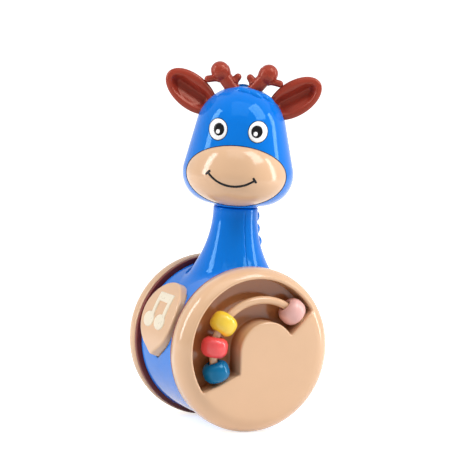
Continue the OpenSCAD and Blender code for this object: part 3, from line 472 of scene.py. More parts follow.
for side, name in WHEELS:
    make_piece(f"{name}_rail_rod", carried(rail_sheets(), on_wheel, side), f"{name}_wheel",
               "beige_plastic", [f"{name}_bead_rail"])

# %% [markdown]
# The drum
#
# The body is two halves, front and rear, that meet at a fine groove. Each half of the drum
# is a sheet bent round the axle. Where it has an opening - the button in front, the battery
# door and screw wells behind - the grid runs from the opening's rim out to the sheet's
# edges, so the rim stays clean and can be rounded.

# %% Drum section
DRUM_R, DRUM_HALF, DRUM_EDGE = 43.5, 21.8, 2.5
DRUM_MID, DRUM_HUB = 30.0, 7.0
SEAM_W, SEAM_D = 0.28, 0.3


def drum_radius(x):
    """Drum radius over x: flat, then a quarter circle at each edge."""
    over = np.clip(np.abs(x) - (DRUM_HALF - DRUM_EDGE), 0, DRUM_EDGE)
    return DRUM_R - DRUM_EDGE + np.sqrt(np.maximum(DRUM_EDGE**2 - over**2, 0))


def seam_groove(gap):
    """Depth of a parting groove at a distance from its middle: deepest times
    exp(-(gap / width)^2)."""
    return SEAM_D * np.exp(-((gap / SEAM_W) ** 2))


# %% Panels with an opening
def box_loop(x0, x1, b0, b1, nx, nb):
    """Boundary of a rectangle in (x, angle), anticlockwise, nx points along x and nb along the
    angle."""
    xs = np.linspace(x0, x1, nx, endpoint=False)
    bs = np.linspace(b0, b1, nb, endpoint=False)
    runs = ((xs, b0), (x1, bs), (x0 + x1 - xs, b1), (x0, b0 + b1 - bs))
    return np.concatenate([np.stack(np.broadcast_arrays(x, b), -1) for x, b in runs])


def hull_radius(turn, points):
    """Distance from the origin to a closed outline round it, at the given angles."""
    t = np.arctan2(points[:, 1], points[:, 0])
    order = np.argsort(t)
    return np.interp(turn, t[order], np.hypot(*points[order].T), period=2 * np.pi)


def skin_row(x, b, seams):
    """Points on the drum's skin at b degrees, z out of the drum: y = r sin b, z = r cos b, with
    r less by the groove at each seam."""
    gap = np.min([np.abs(b - seam) for seam in seams], axis=0) * np.pi / 180 * DRUM_R
    r, b = drum_radius(x) - seam_groove(gap), np.radians(b)
    return np.stack([x, r * np.sin(b), r * np.cos(b)], -1)


def sunk_row(x, h, drop):
    """Points at a height h that lie straight below the skin by a drop."""
    return np.stack([x, h, np.sqrt(np.maximum(drum_radius(x) ** 2 - h**2, 0)) - drop], -1)


def holed_panel(loop, centre, outline_of, lip, depth, rows, seams):
    """A sheet from an opening to the panel's edge: up the opening's wall from depth, over a
    quarter circle of radius lip, then along the skin. loop holds the edge as (x, angle in
    degrees), and outline_of(g) the opening grown by g about its own centre."""
    turn = np.arctan2(np.radians(loop[:, 1] - centre[1]) * DRUM_R, loop[:, 0] - centre[0])
    mid_h = DRUM_R * math.sin(math.radians(centre[1]))

    def rim(grow):
        """The opening grown by some, as x and height."""
        rho = hull_radius(turn, outline_of(grow))
        return centre[0] + rho * np.cos(turn), mid_h + rho * np.sin(turn)

    made = [sunk_row(*rim(0), depth), sunk_row(*rim(0), depth / 2)]
    for t in angles(90, 0, 6):
        made.append(sunk_row(*rim(lip * (1 - math.sin(t))), lip * (1 - math.cos(t))))
    x, h = rim(lip)
    b = np.degrees(np.arcsin(np.clip(h / drum_radius(x), -1, 1)))
    for v in ease(rows)[1:]:
        made.append(skin_row(x + v * (loop[:, 0] - x), b + v * (loop[:, 1] - b), seams))
    return np.stack(made)


def side_faces(start, end):
    """The drum's flat ends: half rings from the edge rounding inwards, on both sides."""
    b = angles(start, end, 201)
    r = np.array([DRUM_R - DRUM_EDGE, DRUM_MID, DRUM_HUB])[:, None]
    return [(np.stack([0 * r * b + s * DRUM_HALF, r * np.sin(b), r * np.cos(b)], -1), False)
            for s in (-1, 1)]


# %% Front drum sheets
SHIELD_R, SHIELD_TIP, SHIELD_MID, TIP_R, SHIELD_POINTS = 19.8, 21.4, 0.8, 4.0, 899
BUTTON_GAP, BUTTON_LIP, BUTTON_DEEP = 0.4, 0.7, 4.0
FRONT_SEAMS = -90 - BUTTON_EL, 90 - BUTTON_EL


def shield_outline(grow):
    """The button's outline, grown by some: the line drawn tight round a large circle and a
    small one below it, with points all along its straight sides too."""
    r, t = SHIELD_R + grow, TIP_R + grow
    drop = SHIELD_TIP - TIP_R + SHIELD_MID
    lean = math.degrees(math.asin((r - t) / drop))
    return respaced(np.concatenate([
        arc(0, SHIELD_MID, r, -lean, 180 + lean, 300),
        arc(0, SHIELD_MID - drop, t, 180 + lean, 360 - lean, 60)]), SHIELD_POINTS)


front_loop = box_loop(-DRUM_HALF, DRUM_HALF, *FRONT_SEAMS, 60, 200)
front_panel = holed_panel(front_loop, (0.0, 0.0), lambda g: shield_outline(BUTTON_GAP + g),
                          BUTTON_LIP, BUTTON_DEEP, 44, FRONT_SEAMS)
front_sheets = carried([(front_panel, True)] + side_faces(*FRONT_SEAMS), at_button)
print("front drum panel", front_panel.shape)

# %% Rear drum sheets
WELL_X, WELL_Z, WELL_R, WELL_LIP, WELL_DEEP = 14.6, 15.9, 2.9, 0.5, 31.0
DOOR_X, DOOR_Z, DOOR_CORNER, DOOR_LIP, DOOR_DEEP = 17.3, 8.9, 0.8, 0.4, 2.6
BAND, DOOR_POINTS = 15.5, 1199
REAR_SEAMS = -90.0, 90.0


def at_rear(p):
    """Rear frame to toy frame: (x, y, z) to (x, z, axle + y), so z points out of the back."""
    x, y, z = axes(p)
    return np.stack([x, z, y + AXLE_Z], -1)


def well(grow):
    """A screw well's round rim, grown by some."""
    return arc(0, 0, WELL_R + grow, 0, 360, 200)[:-1]


def door(grow):
    """The battery door's opening, grown by some: a rectangle with round corners."""
    r = DOOR_CORNER + grow
    x, y = DOOR_X + grow - r, DOOR_Z + grow - r
    corners = ((x, y, 0), (-x, y, 90), (-x, -y, 180), (x, -y, 270))
    loop = np.concatenate([arc(cx, cy, r, a, a + 90, 12) for cx, cy, a in corners])
    return respaced(loop, DOOR_POINTS)


well_b = math.degrees(math.asin(WELL_Z / DRUM_R))
rear_panels = []
for sx in (-1, 1):
    for sz in (-1, 1):
        well_x, well_turn = sorted((0.0, sx * DRUM_HALF)), sorted((sz * BAND, sz * 90.0))
        well_loop = box_loop(*well_x, *well_turn, 30, 80)
        rear_panels.append(holed_panel(well_loop, (sx * WELL_X, sz * well_b), well, WELL_LIP,
                                       WELL_DEEP, 40, REAR_SEAMS))
door_loop = box_loop(-DRUM_HALF, DRUM_HALF, -BAND, BAND, 60, 40)
rear_panels.append(holed_panel(door_loop, (0.0, 0.0), door, DOOR_LIP, DOOR_DEEP, 16, REAR_SEAMS))
rear_sheets = carried([(panel, True) for panel in rear_panels] + side_faces(*REAR_SEAMS), at_rear)
print("rear drum sheets", len(rear_sheets))

# %% [markdown]
# The neck
#
# The neck runs into the drum in one hollow curve. Its height over any point of the plan is
# the larger of two heights, the flare's and the drum's, taken softly so that no hard line
# shows where they meet. The last rows lie on the drum itself. A post with a flange stands on
# top and holds the head, and three low pebbles down the back make the mane.

# %% Front half with the neck
NECK_R, NECK_EDGE, NECK_BORE = 12.5, 0.8, 8.8
FLARE_R, FLARE_CZ, FLARE_END = 60.0, 119.62, 52
NECK_SOFT, NECK_SWELL, GROOVE_TURN, SHY = 2.6, 0.5, 0.7, 0.05
# (radius, height over the neck's top) round the post and its flange
POST = np.array([(8.9, -2), (8.9, 4.2), (11.5, 4.2), (11.5, 6.2), (6.6, 6.2), (6.6, -2), (8.9, -2)])


def soft_max(a, b, k, swell=1.0):
    """The larger of two values, rounded over within k: b + (a - b) h + swell k h (1 - h), where
    h goes from 0 to 1 as a - b goes from -k to k."""
    h = np.clip(0.5 + 0.5 * (a - b) / k, 0, 1)
    return b + (a - b) * h + swell * k * h * (1 - h)


def neck_half(start):
    """Half a neck, from plan angle start over 180 degrees: rows over the rounded top edge and
    down the flare arc, columns round the axis. Height = soft maximum of flare and drum."""
    phi = np.radians(start + np.linspace(0, 180, 181))
    psi = angles(0, FLARE_END, 90)[:, None]
    d = NECK_R + FLARE_R * (1 - np.cos(psi)) + 0 * phi
    flare = FLARE_CZ - FLARE_R * np.sin(psi) + 0 * phi
    limit = np.minimum(1.0, (DRUM_HALF - SHY) / np.maximum(np.abs(d * np.cos(phi)), TINY))
    x, y = d * np.cos(phi) * limit, d * np.sin(phi)
    drum = AXLE_Z + np.sqrt(np.maximum(drum_radius(x) ** 2 - y**2, 0))
    z = soft_max(flare, drum, NECK_SOFT, NECK_SWELL) - SHY * (flare - drum <= -NECK_SOFT)
    groove = seam_groove(y)
    shrink = 1 - groove / np.maximum(np.hypot(x, y), 1)
    skin = np.stack([x * shrink, y * shrink, z - groove * (psi > GROOVE_TURN)], -1)
    edge = arc(NECK_R - NECK_EDGE, NECK_TOP - NECK_EDGE, NECK_EDGE, 90, 0, 6)
    top, _ = turned(np.concatenate([[(NECK_BORE, NECK_TOP)], edge]), 181, start, 180)
    return [(np.concatenate([top, skin]), False), turned(POST + (0, NECK_TOP), 60, start, 180)]


neck, post = neck_half(180.0)
make_piece("body_front_moulding", [front_sheets[0], neck] + front_sheets[1:] + [post], "body",
           "blue_plastic", ["body_front_shell"])

# %% Rear half with the mane
MANE_FIRST, MANE_STEP, MANE_SUNK, MANE_RADII = 5.4, 7.2, 1.6, np.array([3.6, 4.0, 4.1])


def mane_pebble(place):
    """An oval pebble on the back of the neck: centre + radii times the unit sphere of two
    angles, the centre a little inside the flare's arc at that height."""
    z = NECK_TOP - MANE_FIRST - MANE_STEP * place
    reach = NECK_R + FLARE_R - math.sqrt(FLARE_R**2 - max(FLARE_CZ - z, 0) ** 2)
    u = np.linspace(-np.pi / 2, np.pi / 2, 40)[:, None]
    v = np.linspace(0, 2 * np.pi, 80, endpoint=False)
    ball = np.stack([np.cos(u) * np.cos(v), np.cos(u) * np.sin(v), np.sin(u) + 0 * v], -1)
    return np.array([0, reach - MANE_SUNK, z]) + ball * MANE_RADII, True


mane = [mane_pebble(place) for place in range(3)]
make_piece("body_rear_moulding", rear_sheets + neck_half(0.0) + mane, "body", "blue_plastic",
           ["body_rear_shell"])

# %% [markdown]
# The chest button
#
# The button is a shield-shaped cap whose face follows the drum's curve. Rings of its outline
# climb the wall, round the edge and close over the face. The note is raised on it: its
# height is read from the distance to a note's outline, so its edges come out rounded.

# %% Button cap
BUTTON_FACE, BUTTON_BEND, BUTTON_EDGE = 46.4, 64.0, 1.1
BUTTON_LOW, BUTTON_IN = 31.0, 2.0


def button_face(y):
    """Height of the button's face: a cylinder flatter than the drum, highest in the middle."""
    return BUTTON_FACE - BUTTON_BEND + np.sqrt(BUTTON_BEND**2 - y**2)


def button_rows():
    """Rings of the shield from its hidden skirt up the wall, over a rounded edge and in to the
    middle."""
    loop, last = shield_outline(0.0), shield_outline(-BUTTON_EDGE)
    rise = button_face(loop[:, 1]) - BUTTON_EDGE - BUTTON_LOW
    rows = [lift(shield_outline(-BUTTON_IN), BUTTON_LOW)]
    rows += [lift(loop, BUTTON_LOW + t * rise) for t in np.linspace(0, 1, 6)]
    for t in angles(0, 90, 8)[1:]:
        p = shield_outline(-BUTTON_EDGE * (1 - math.cos(t)))
        rows.append(lift(p, button_face(p[:, 1]) - BUTTON_EDGE * (1 - math.sin(t))))
    rows += [lift(last * v, button_face(last[:, 1] * v)) for v in np.linspace(1, 0, 16)[1:]]
    return np.stack(rows)


make_piece("button_cap", backed(at_button(button_rows())[::-1], True), "button", "beige_plastic",
           ["music_button"])

# %% Note
NOTE_HEADS, NOTE_HEAD_R, NOTE_WIDE = [(-8.4, -3.2), (5.2, -3.2)], 4.4, 1.36
NOTE_STEM, NOTE_STEM_AT, NOTE_TOP, NOTE_BEAM = 3.2, 1.2, 13.4, 5.2
NOTE_PROUD, NOTE_EDGE, NOTE_FALL, NOTE_SUNK, NOTE_THICK = 0.7, 0.45, 6, 0.5, 0.8
NOTE_X, NOTE_Y = np.linspace(-14.9, 11.7, 200), np.linspace(-8.1, 13.9, 170)


def bar_distance(x, y, cx, cy, hx, hy):
    """Signed distance to an upright bar, negative inside."""
    qx, qy = np.abs(x - cx) - hx, np.abs(y - cy) - hy
    return np.hypot(np.maximum(qx, 0), np.maximum(qy, 0)) + np.minimum(np.maximum(qx, qy), 0)


def note_distance(x, y):
    """Signed distance to the note: the least of two heads, two stems and a beam."""
    parts = []
    for hx, hy in NOTE_HEADS:
        parts.append(np.hypot((x - hx) / NOTE_WIDE, y - hy) - NOTE_HEAD_R)
        stem = hx + NOTE_STEM_AT + NOTE_STEM / 2
        parts.append(bar_distance(x, y, stem, (hy + NOTE_TOP) / 2, NOTE_STEM / 2,
                                  (NOTE_TOP - hy) / 2))
    left, right = (head[0] + NOTE_STEM_AT for head in NOTE_HEADS)
    parts.append(bar_distance(x, y, (left + right + NOTE_STEM) / 2, NOTE_TOP - NOTE_BEAM / 2,
                              (right + NOTE_STEM - left) / 2, NOTE_BEAM / 2))
    return np.min(parts, axis=0)


def note_sheet():
    """A fine grid over the note: proud inside the outline with a rounded edge, sunk below the
    face outside it."""
    x, y = np.meshgrid(NOTE_X, NOTE_Y, indexing="ij")
    d = -note_distance(x, y)
    bite = NOTE_EDGE - np.clip(d, 0, NOTE_EDGE)
    h = NOTE_PROUD - (NOTE_EDGE - np.sqrt(NOTE_EDGE**2 - bite**2))
    fall = np.maximum((NOTE_PROUD - NOTE_EDGE) + d * NOTE_FALL, -NOTE_SUNK)
    return np.stack([x, y, button_face(y) + np.where(d < 0, fall, h)], -1)


note = backed(note_sheet(), False, (0, 0, -NOTE_THICK))
make_piece("button_note_raised", carried(note, at_button), "button", "cream_plastic",
           ["button_note"], crease=70)

# %% [markdown]
# The head
#
# The head is turned: a round skull that widens into full cheeks. Front and rear halves meet
# at a fine groove like the body's, and each is a wall drawn twice, outside and inside. The
# locks on the crown are swept to one side, each a round section that swells and tapers along
# its way over the skull.

# %% Head shells
DOME_Z, DOME_R, CHEEK_X, CHEEK_Z, CHEEK_R = 42.0, 25.3, 14.0, 18.5, 17.0
# (radius, height) up the collar under the chin
COLLAR = [[9.3, 0.4], [12.4, 0.4], [12.8, 0.8], [12.8, 1.5]]
HEAD_WALL, GROOVE_FROM = 1.8, 2
SIDE = math.degrees(math.atan2(CHEEK_Z - DOME_Z, CHEEK_X)
                    + math.acos((DOME_R - CHEEK_R) / math.hypot(CHEEK_X, DOME_Z - CHEEK_Z)))


def head_half(start, sunk=0.0):
    """Half a turn of the head's section - collar, chin line, cheek arc, straight side and skull
    arc - moved inwards across its own line by sunk, with the seam groove pressed in along its
    edges."""
    line = np.concatenate([COLLAR, arc(CHEEK_X, CHEEK_Z, CHEEK_R, -90, SIDE, 40),
                           arc(0, DOME_Z, DOME_R, SIDE, 90, 60)])
    run = np.gradient(line, axis=0)
    line = line + sunk * unit_rows(np.stack([-run[:, 1], run[:, 0]], -1))
    line[-1, 0] = 0
    x, y, z = axes(turned(line, 181, start, 180)[0])
    r = np.maximum(np.hypot(x, y), TINY)
    shrink = np.where(r > GROOVE_FROM, 1 - seam_groove(y) / r, 1)
    return np.stack([x * shrink, y * shrink, z], -1)


# %% Locks on the crown
# (direction of the start, direction of the end, thickness)
LOCKS = [((-6, -6, 25), (7, -11, 21.5), 2.6), ((1, -8, 24), (13, -10.5, 19), 2.9),
         ((8, -8, 22.5), (19.5, -5, 16), 2.6), ((-7, 4, 24), (6, 0, 25), 1.9),
         ((-3, 11, 22.5), (9, 8, 22.5), 1.9)]
LOCK_TAPER, LOCK_SUNK, LOCK_DIP = 0.6, 0.38, 0.6


def lock(start, end, thick):
    """A lock of hair on the skull: a round section carried along the short way from one
    direction to the other, its radius thick sin(pi u)^0.6, its line a little under the skin at
    both ends."""
    u = np.linspace(0, 1, 40)[:, None]
    out = unit_rows(np.asarray(start, float) * (1 - u) + np.asarray(end, float) * u)
    r = thick * np.maximum(np.sin(np.pi * u), 0) ** LOCK_TAPER
    mid = out * (DOME_R - LOCK_SUNK * thick - LOCK_DIP * (2 * u - 1) ** 4)
    across = np.cross(unit_rows(np.gradient(mid, axis=0)), out)
    t = around(28)[:, None]
    ring = r[:, None] * (np.cos(t) * across[:, None] + np.sin(t) * out[:, None])
    return mid[:, None] + ring + np.array([0, 0, DOME_Z]), True


for name, start, extra in (("front", 180.0, [lock(*spec) for spec in LOCKS]), ("rear", 0.0, [])):
    sheets = walled(head_half(start), head_half(start, HEAD_WALL)) + extra
    make_piece(f"head_{name}_moulding", carried(sheets, on_neck), "head", "blue_plastic",
               [f"head_{name}_shell"])

# %% [markdown]
# Muzzle and smile
#
# The muzzle is an oval cushion raised from the head's own front, so its height is the
# head's depth plus a bulge that ends steeply at the rim. A thin dark line round it stands for
# the shadow in the gap of the real joint. The smile is a thin bead of paint that follows the
# muzzle: a line with two short ticks, each low and round across.

# %% Muzzle
MUZZLE_A, MUZZLE_B, MUZZLE_Z, BULGE = 27.6, 16.9, 19.2, 5.5
MUZZLE_RIM, MUZZLE_IN, MUZZLE_TURN = 1.6, 0.9, 0.4


def head_radius(z):
    """Head radius at a height, from the section's three parts."""
    c, s = unit(SIDE)
    top, low = DOME_Z + DOME_R * s, CHEEK_Z + CHEEK_R * s
    dome = np.sqrt(np.maximum(DOME_R**2 - (z - DOME_Z) ** 2, 0))
    cheek = CHEEK_X + np.sqrt(np.maximum(CHEEK_R**2 - (z - CHEEK_Z) ** 2, 0))
    straight = CHEEK_X + CHEEK_R * c - (z - low) * math.tan(math.radians(SIDE))
    return np.where(z > top, dome, np.where(z < low, cheek, straight))


def head_front(x, z):
    """The y of the head's own front at a place on the face: minus sqrt(radius^2 - x^2)."""
    return -np.sqrt(np.maximum(head_radius(z) ** 2 - x**2, 1))


def muzzle_y(x, z, over=0.0):
    """The y of the muzzle's front: the head's front less bulge sqrt(1 - s^3) and less over."""
    s = np.clip(np.hypot(x / MUZZLE_A, (z - MUZZLE_Z) / MUZZLE_B), 0, 1)
    return head_front(x, z) - BULGE * np.sqrt(1 - s**3) - over


def muzzle_sheet():
    """Oval rings from the middle to the rim, then a lip that turns back into the head."""
    t, s = around(160), ease(40)[:, None]
    x, z = MUZZLE_A * s * np.cos(t), MUZZLE_Z + MUZZLE_B * s * np.sin(t)
    front = np.stack([x, muzzle_y(x, z), z], -1)
    rim = front[-1:] + np.array([0, MUZZLE_RIM, 0])
    back = (rim * np.array([MUZZLE_IN, 1.0, MUZZLE_IN])
            + np.array([0, MUZZLE_TURN, (1 - MUZZLE_IN) * MUZZLE_Z]))
    return np.concatenate([front, rim, back])


make_piece("muzzle_moulding", backed(on_neck(muzzle_sheet()), True), "head", "beige_plastic",
           ["muzzle"])

# %% Shadow gap
MUZZLE_GAP, MUZZLE_SHADOW_R = 0.15, 0.24


def gap_shadow_line(name, x, z, thick):
    """A thin round black line of painted shadow on the head, along a closed path of face points
    (x, z): circles of radius thick, square to the path."""
    p = np.stack([x, head_front(x, z), z], -1)
    d = unit_rows(np.roll(p, -1, 0) - np.roll(p, 1, 0))
    n = unit_rows(np.cross(d, np.array([0, 1.0, 0])))
    t = around(10)[:, None]
    grid = p[:, None] + thick * (np.cos(t) * n[:, None] + np.sin(t) * np.cross(d, n)[:, None])
    closed = np.concatenate([grid, grid[:1]])
    make_piece(name, [(on_neck(closed), True)], "head", "black_plastic")


# painted shadow: a thin black line in the gap round the muzzle
t = around(200)
gap_shadow_line("muzzle_gap_shadow", (MUZZLE_A + MUZZLE_GAP) * np.cos(t),
         MUZZLE_Z + (MUZZLE_B + MUZZLE_GAP) * np.sin(t), MUZZLE_SHADOW_R)

# %% Smile
SMILE_OFF, SMILE_TILT, SMILE_Z, SMILE_SAG, SMILE_A = -1.4, -5.7, 19.8, 5.2, 13.1
SMILE_W, SMILE_PROUD, SMILE_SUNK, SMILE_THICK, SMILE_STEP = 1.3, 0.4, 0.08, 0.3, 0.18
TICK_L, TICK_DIR = 3.7, 50.0


def stroke(path):
    """A painted line on the muzzle: across it w runs -1 to 1 and the height is
    proud sqrt(1 - w^2); the ends close in half circles."""
    run = np.linalg.norm(np.diff(path, axis=0), axis=1).sum()
    p = resample(path, max(12, int(run / SMILE_STEP)))
    d = unit_rows(np.gradient(p, axis=0))
    s = np.linspace(0, run, len(p))
    end = np.minimum(np.minimum(s, run - s) / (SMILE_W / 2), 1)
    full = np.sqrt(np.maximum(1 - (1 - end) ** 2, 0))[:, None]
    w = np.sin(np.linspace(-np.pi / 2, np.pi / 2, 11))
    n = np.stack([-d[:, 1], d[:, 0]], -1)
    x, z = axes(p[:, None] + n[:, None] * (SMILE_W / 2 * full * w)[..., None])
    over = SMILE_PROUD * np.sqrt(np.maximum(1 - w**2, 0)) * full - SMILE_SUNK
    return np.stack([x, muzzle_y(x, z, over), z], -1)


def smile_paths():
    """The mouth as an arc through three points, tipped a little, with a tick across each end."""
    r = (SMILE_A**2 + SMILE_SAG**2) / (2 * SMILE_SAG)
    half = math.degrees(math.asin(SMILE_A / r))
    paths = [arc(0, r - SMILE_SAG, r, -90 - half, -90 + half, 120)]
    for end in (-1, 1):
        tick = np.linspace(-1, 1, 20)[:, None] * unit(-end * TICK_DIR) * TICK_L / 2
        paths.append(np.array([end * SMILE_A, 0]) + tick)
    c, s = unit(SMILE_TILT)
    return [p @ np.array([[c, s], [-s, c]]) + np.array([SMILE_OFF, SMILE_Z]) for p in paths]


smile = [sheet for path in smile_paths()
         for sheet in backed(stroke(path), False, (0, SMILE_THICK, 0))]
make_piece("smile_line", carried(smile, on_neck), "head", "black_plastic", ["smile_inlay"],
           crease=80)

# %% [markdown]
# Eyes
#
# Each eye is a low oval button on the skull: white, with a black pupil set towards the nose
# and a small white glint on it. All are ovals laid on the face, each a little prouder than
# the last, so they follow the skull where flat discs would stand off it. A thin dark line
# round each eye is painted shadow in its gap.

# %% Eye discs
EYE_X, EYE_Z, EYE_W, EYE_H = 11.0, 44.3, 5.2, 5.9
EYE_GAP, EYE_SHADOW_R, GLINT_SHIFT = 0.05, 0.2, 0.5


def face_oval(side, x0, z0, half_w, half_h, proud, sunk):
    """Rings of an oval on the face: depth = the head's depth there + a flat dome
    (proud + sunk) sqrt(1 - s^10) - sunk."""
    s, t = ease(24)[:, None], around(72)
    x, z = side * (x0 + half_w * s * np.cos(t)), z0 + half_h * s * np.sin(t)
    lifted = (proud + sunk) * np.sqrt(np.maximum(1 - s**10, 0)) - sunk
    return np.stack([x, -np.sqrt((head_radius(z) + lifted) ** 2 - x**2), z], -1)


for side, name in FACE_SIDES:
    glint_x = EYE_X - 0.6 - GLINT_SHIFT * side
    # each oval: x, z, half width, half height, proud, sunk
    for part, oval, slot, stands_for in (
            ("eye_white", (EYE_X, EYE_Z, EYE_W, EYE_H, 0.6, 0.4), "white_plastic", [f"{name}_eye"]),
            ("pupil_disc", (EYE_X - 0.5, EYE_Z + 0.1, 3.4, 3.8, 0.75, 0.0), "black_plastic",
             [f"{name}_pupil"]),
            ("eye_glint", (glint_x, EYE_Z - 1.1, 1.3, 1.4, 0.85, 0.0), "white_plastic", [])):
        make_piece(f"{name}_{part}", backed(on_neck(face_oval(side, *oval)), True), "head", slot,
                   stands_for)
    t = around(72)
    # painted shadow: a thin black line in the gap round the eye
    gap_shadow_line(f"{name}_eye_gap_shadow", side * (EYE_X + (EYE_W + EYE_GAP) * np.cos(t)),
             EYE_Z + (EYE_H + EYE_GAP) * np.sin(t), EYE_SHADOW_R)

# %% [markdown]
# Ears
#
# An ear is a leaf-shaped dish. Front and back are two heights over the same oval; the front
# has a broad rolled rim and a fold that runs from the root towards the tip, off the middle.

# %% Ear dishes
EAR_A, EAR_B, EAR_X, EAR_Z, EAR_LIFT = 16.8, 9.7, 28.9, 62.4, 36.0
EAR_RIM, EAR_BACK, EAR_HOLLOW, HOLLOW_EDGE, HOLLOW_SLOPE = 2.6, 4.6, 5.6, 0.84, 0.3
FOLD_OFF, FOLD_LEAN, FOLD_STEEP, FOLD_BROAD = 0.12, 0.18, 0.3, 0.62


def ear_sheets(side):
    """Front: rim 2.6 sqrt(1 - s^4) less a hollow with one steep lip; back: 4.6 sqrt(1 - s^2);
    rings of the oval."""
    t, s = around(120), ease(40)[:, None]
    p, q = s * np.cos(t), s * np.sin(t)
    rim = EAR_RIM * np.sqrt(np.maximum(1 - s**4, 0))
    within = smooth(np.clip((HOLLOW_EDGE - s) / HOLLOW_SLOPE, 0, 1))
    lean = q - FOLD_OFF + FOLD_LEAN * p
    width = np.where(lean > 0, FOLD_STEEP, FOLD_BROAD)
    front = EAR_HOLLOW * within * np.exp(-((lean / width) ** 2)) - rim
    back = EAR_BACK * np.sqrt(np.maximum(1 - s**2, 0)) + 0 * t
    c, n = unit(EAR_LIFT)
    along, up = EAR_A * p, EAR_B * q
    x, z = side * (EAR_X + c * along - n * up), EAR_Z + n * along + c * up
    return [(on_neck(np.stack([x, depth, z], -1)), True) for depth in (front, back)]


for side, name in FACE_SIDES:
    make_piece(f"{name}_ear_dish", ear_sheets(side), "head", "rust_plastic", [f"{name}_ear"])

# %% [markdown]
# Antlers
#
# A club-shaped stem with a ball on top, and two short tines. The stem is turned about its
# own line; its radius is a soft maximum of a rod and the ball, so one flows into the other.

# %% Antler sheets
STEM_IN, BALL = np.array([4.3, 63.5]), np.array([13.6, 75.1])
BALL_R, STEM_R, STEM_SUNK, STEM_SOFT = 5.2, 4.0, 0.4, 3.0
TINE_R, TINE_FLARE, FLARE_FROM = 2.0, 0.9, 0.9 * STEM_R
# (share of the way up the stem, tip)
TINES = [(0.34, np.array([3.4, 72.2])), (0.72, np.array([20.0, 69.9]))]


def spun(p0, p1, along, radius, side):
    """A radius that changes along a line from p0 to p1 in the head's middle plane, carried
    round that line."""
    d = (p1 - p0) / np.linalg.norm(p1 - p0)
    a, along, radius = around(48), along[:, None], radius[:, None]
    off = radius * np.cos(a)
    x, z = p0[0] + along * d[0] + off * d[1], p0[1] + along * d[1] - off * d[0]
    return on_neck(np.stack([side * x, radius * np.sin(a), z], -1)), True


def antler_sheets(side):
    """Stem with ball, then each tine: a rod with a flared root and a round tip."""
    length = np.linalg.norm(BALL - STEM_IN)
    u = np.concatenate([np.linspace(-STEM_SUNK, length, 50), length + BALL_R * ease(24)[1:]])
    ball = np.sqrt(np.maximum(BALL_R**2 - (u - length) ** 2, 0))
    r = np.where(u < length, soft_max(ball, STEM_R, STEM_SOFT), ball)
    r[0] = 0
    made = [spun(STEM_IN, BALL, u, r, side)]
    for share, tip in TINES:
        root = STEM_IN + share * (BALL - STEM_IN)
        reach = np.linalg.norm(tip - root)
        u = np.concatenate([np.linspace(0, reach, 24), reach + TINE_R * ease(14)[1:]])
        flare = TINE_FLARE * np.exp(-np.maximum(u - FLARE_FROM, 0) / TINE_FLARE) * (u <= reach)
        r = np.sqrt(TINE_R**2 - np.clip(u - reach, 0, TINE_R) ** 2) + flare
        r[0] = 0
        made.append(spun(root, tip, u, r, side))
    return made


for side, name in FACE_SIDES:
    make_piece(f"{name}_antler_club", antler_sheets(side), "head", "rust_plastic",
               [f"{name}_antler"])

# %% [markdown]
# Finishes
#
# All the plastics share one skin: a gloss that is never perfectly even. A node group makes
# it once - a broad, faint cloud in the colour, a finer one in the gloss, and the slight
# ripple that moulded plastic shows - and each plastic places it with its own values. A second
# group paints shade into the beige deep in the wheels' pockets, near their floor.


# %% Node helpers
def feed(tree, node, values):
    """Give a node's inputs what they need: a socket is linked, anything else is set."""
    for key, value in values.items():
        if isinstance(value, bpy.types.NodeSocket):
            tree.links.new(value, node.inputs[key])
        else:
            node.inputs[key].default_value = value


def add(tree, kind, values=None, **settings):
    """A new shader node: its settings are made first, then its inputs are fed."""
    node = tree.nodes.new("ShaderNode" + kind)
    for key, value in settings.items():
        setattr(node, key, value)
    feed(tree, node, values or {})
    return node


def maths(tree, operation, *values):
    """The result of a math node on some values."""
    return add(tree, "Math", dict(enumerate(values)), operation=operation).outputs[0]


def ramp(tree, value, low, high, at_low, at_high):
    """A value's way from low to high made a way from at_low to at_high, held at both ends."""
    return add(tree, "MapRange", {"Value": value, "From Min": low, "From Max": high,
                                  "To Min": at_low, "To Max": at_high}).outputs["Result"]


def new_group(name, ins, outs):
    """An empty shader group with named sockets."""
    group = bpy.data.node_groups.new(name, "ShaderNodeTree")
    for label, kind, value in ins:
        socket = group.interface.new_socket(label, in_out="INPUT", socket_type=kind)
        socket.default_value = value
    for label, kind in outs:
        group.interface.new_socket(label, in_out="OUTPUT", socket_type=kind)
    into, out = group.nodes.new("NodeGroupInput"), group.nodes.new("NodeGroupOutput")
    return group, into.outputs, out


# %% Shared groups
COLOUR, NUMBER = "NodeSocketColor", "NodeSocketFloat"
WHITE, BLACK = (1, 1, 1, 1), (0, 0, 0, 1)
# (scale, detail) of each noise
CLOUD, FINE_CLOUD, RIPPLE = (40.0, 3), (420, 5), (160, 2)
# where the painted pocket shade is full and gone along the axle, and across the rim's inside, in
# metres
SHADE_FULL, SHADE_NONE, SHADE_IN, SHADE_OUT = 0.0265, 0.0345, 0.0400, 0.0405


def moulded_skin():
    """Colour = base mixed with its deep tone by a cloud; gloss = rough + spread times a finer
    cloud; ripple = a soft noise for the bump."""
    tree, into, out = new_group(
        "moulded_skin", [("Base", COLOUR, WHITE), ("Deep", COLOUR, BLACK), ("Rough", NUMBER, 0.2),
                         ("Rough Spread", NUMBER, 0.08)],
        [("Color", COLOUR), ("Roughness", NUMBER), ("Ripple", NUMBER)])
    where = add(tree, "TexCoord").outputs["Object"]
    cloud, fine, ripple = (
        add(tree, "TexNoise", {"Vector": where, "Scale": scale, "Detail": detail}).outputs["Fac"]
        for scale, detail in (CLOUD, FINE_CLOUD, RIPPLE))
    mix = add(tree, "Mix", {"Factor": cloud, "A": into["Base"], "B": into["Deep"]},
              data_type="RGBA")
    gloss = maths(tree, "MULTIPLY_ADD", fine, into["Rough Spread"], into["Rough"])
    feed(tree, out, {"Color": mix.outputs["Result"], "Roughness": gloss, "Ripple": ripple})
    return tree


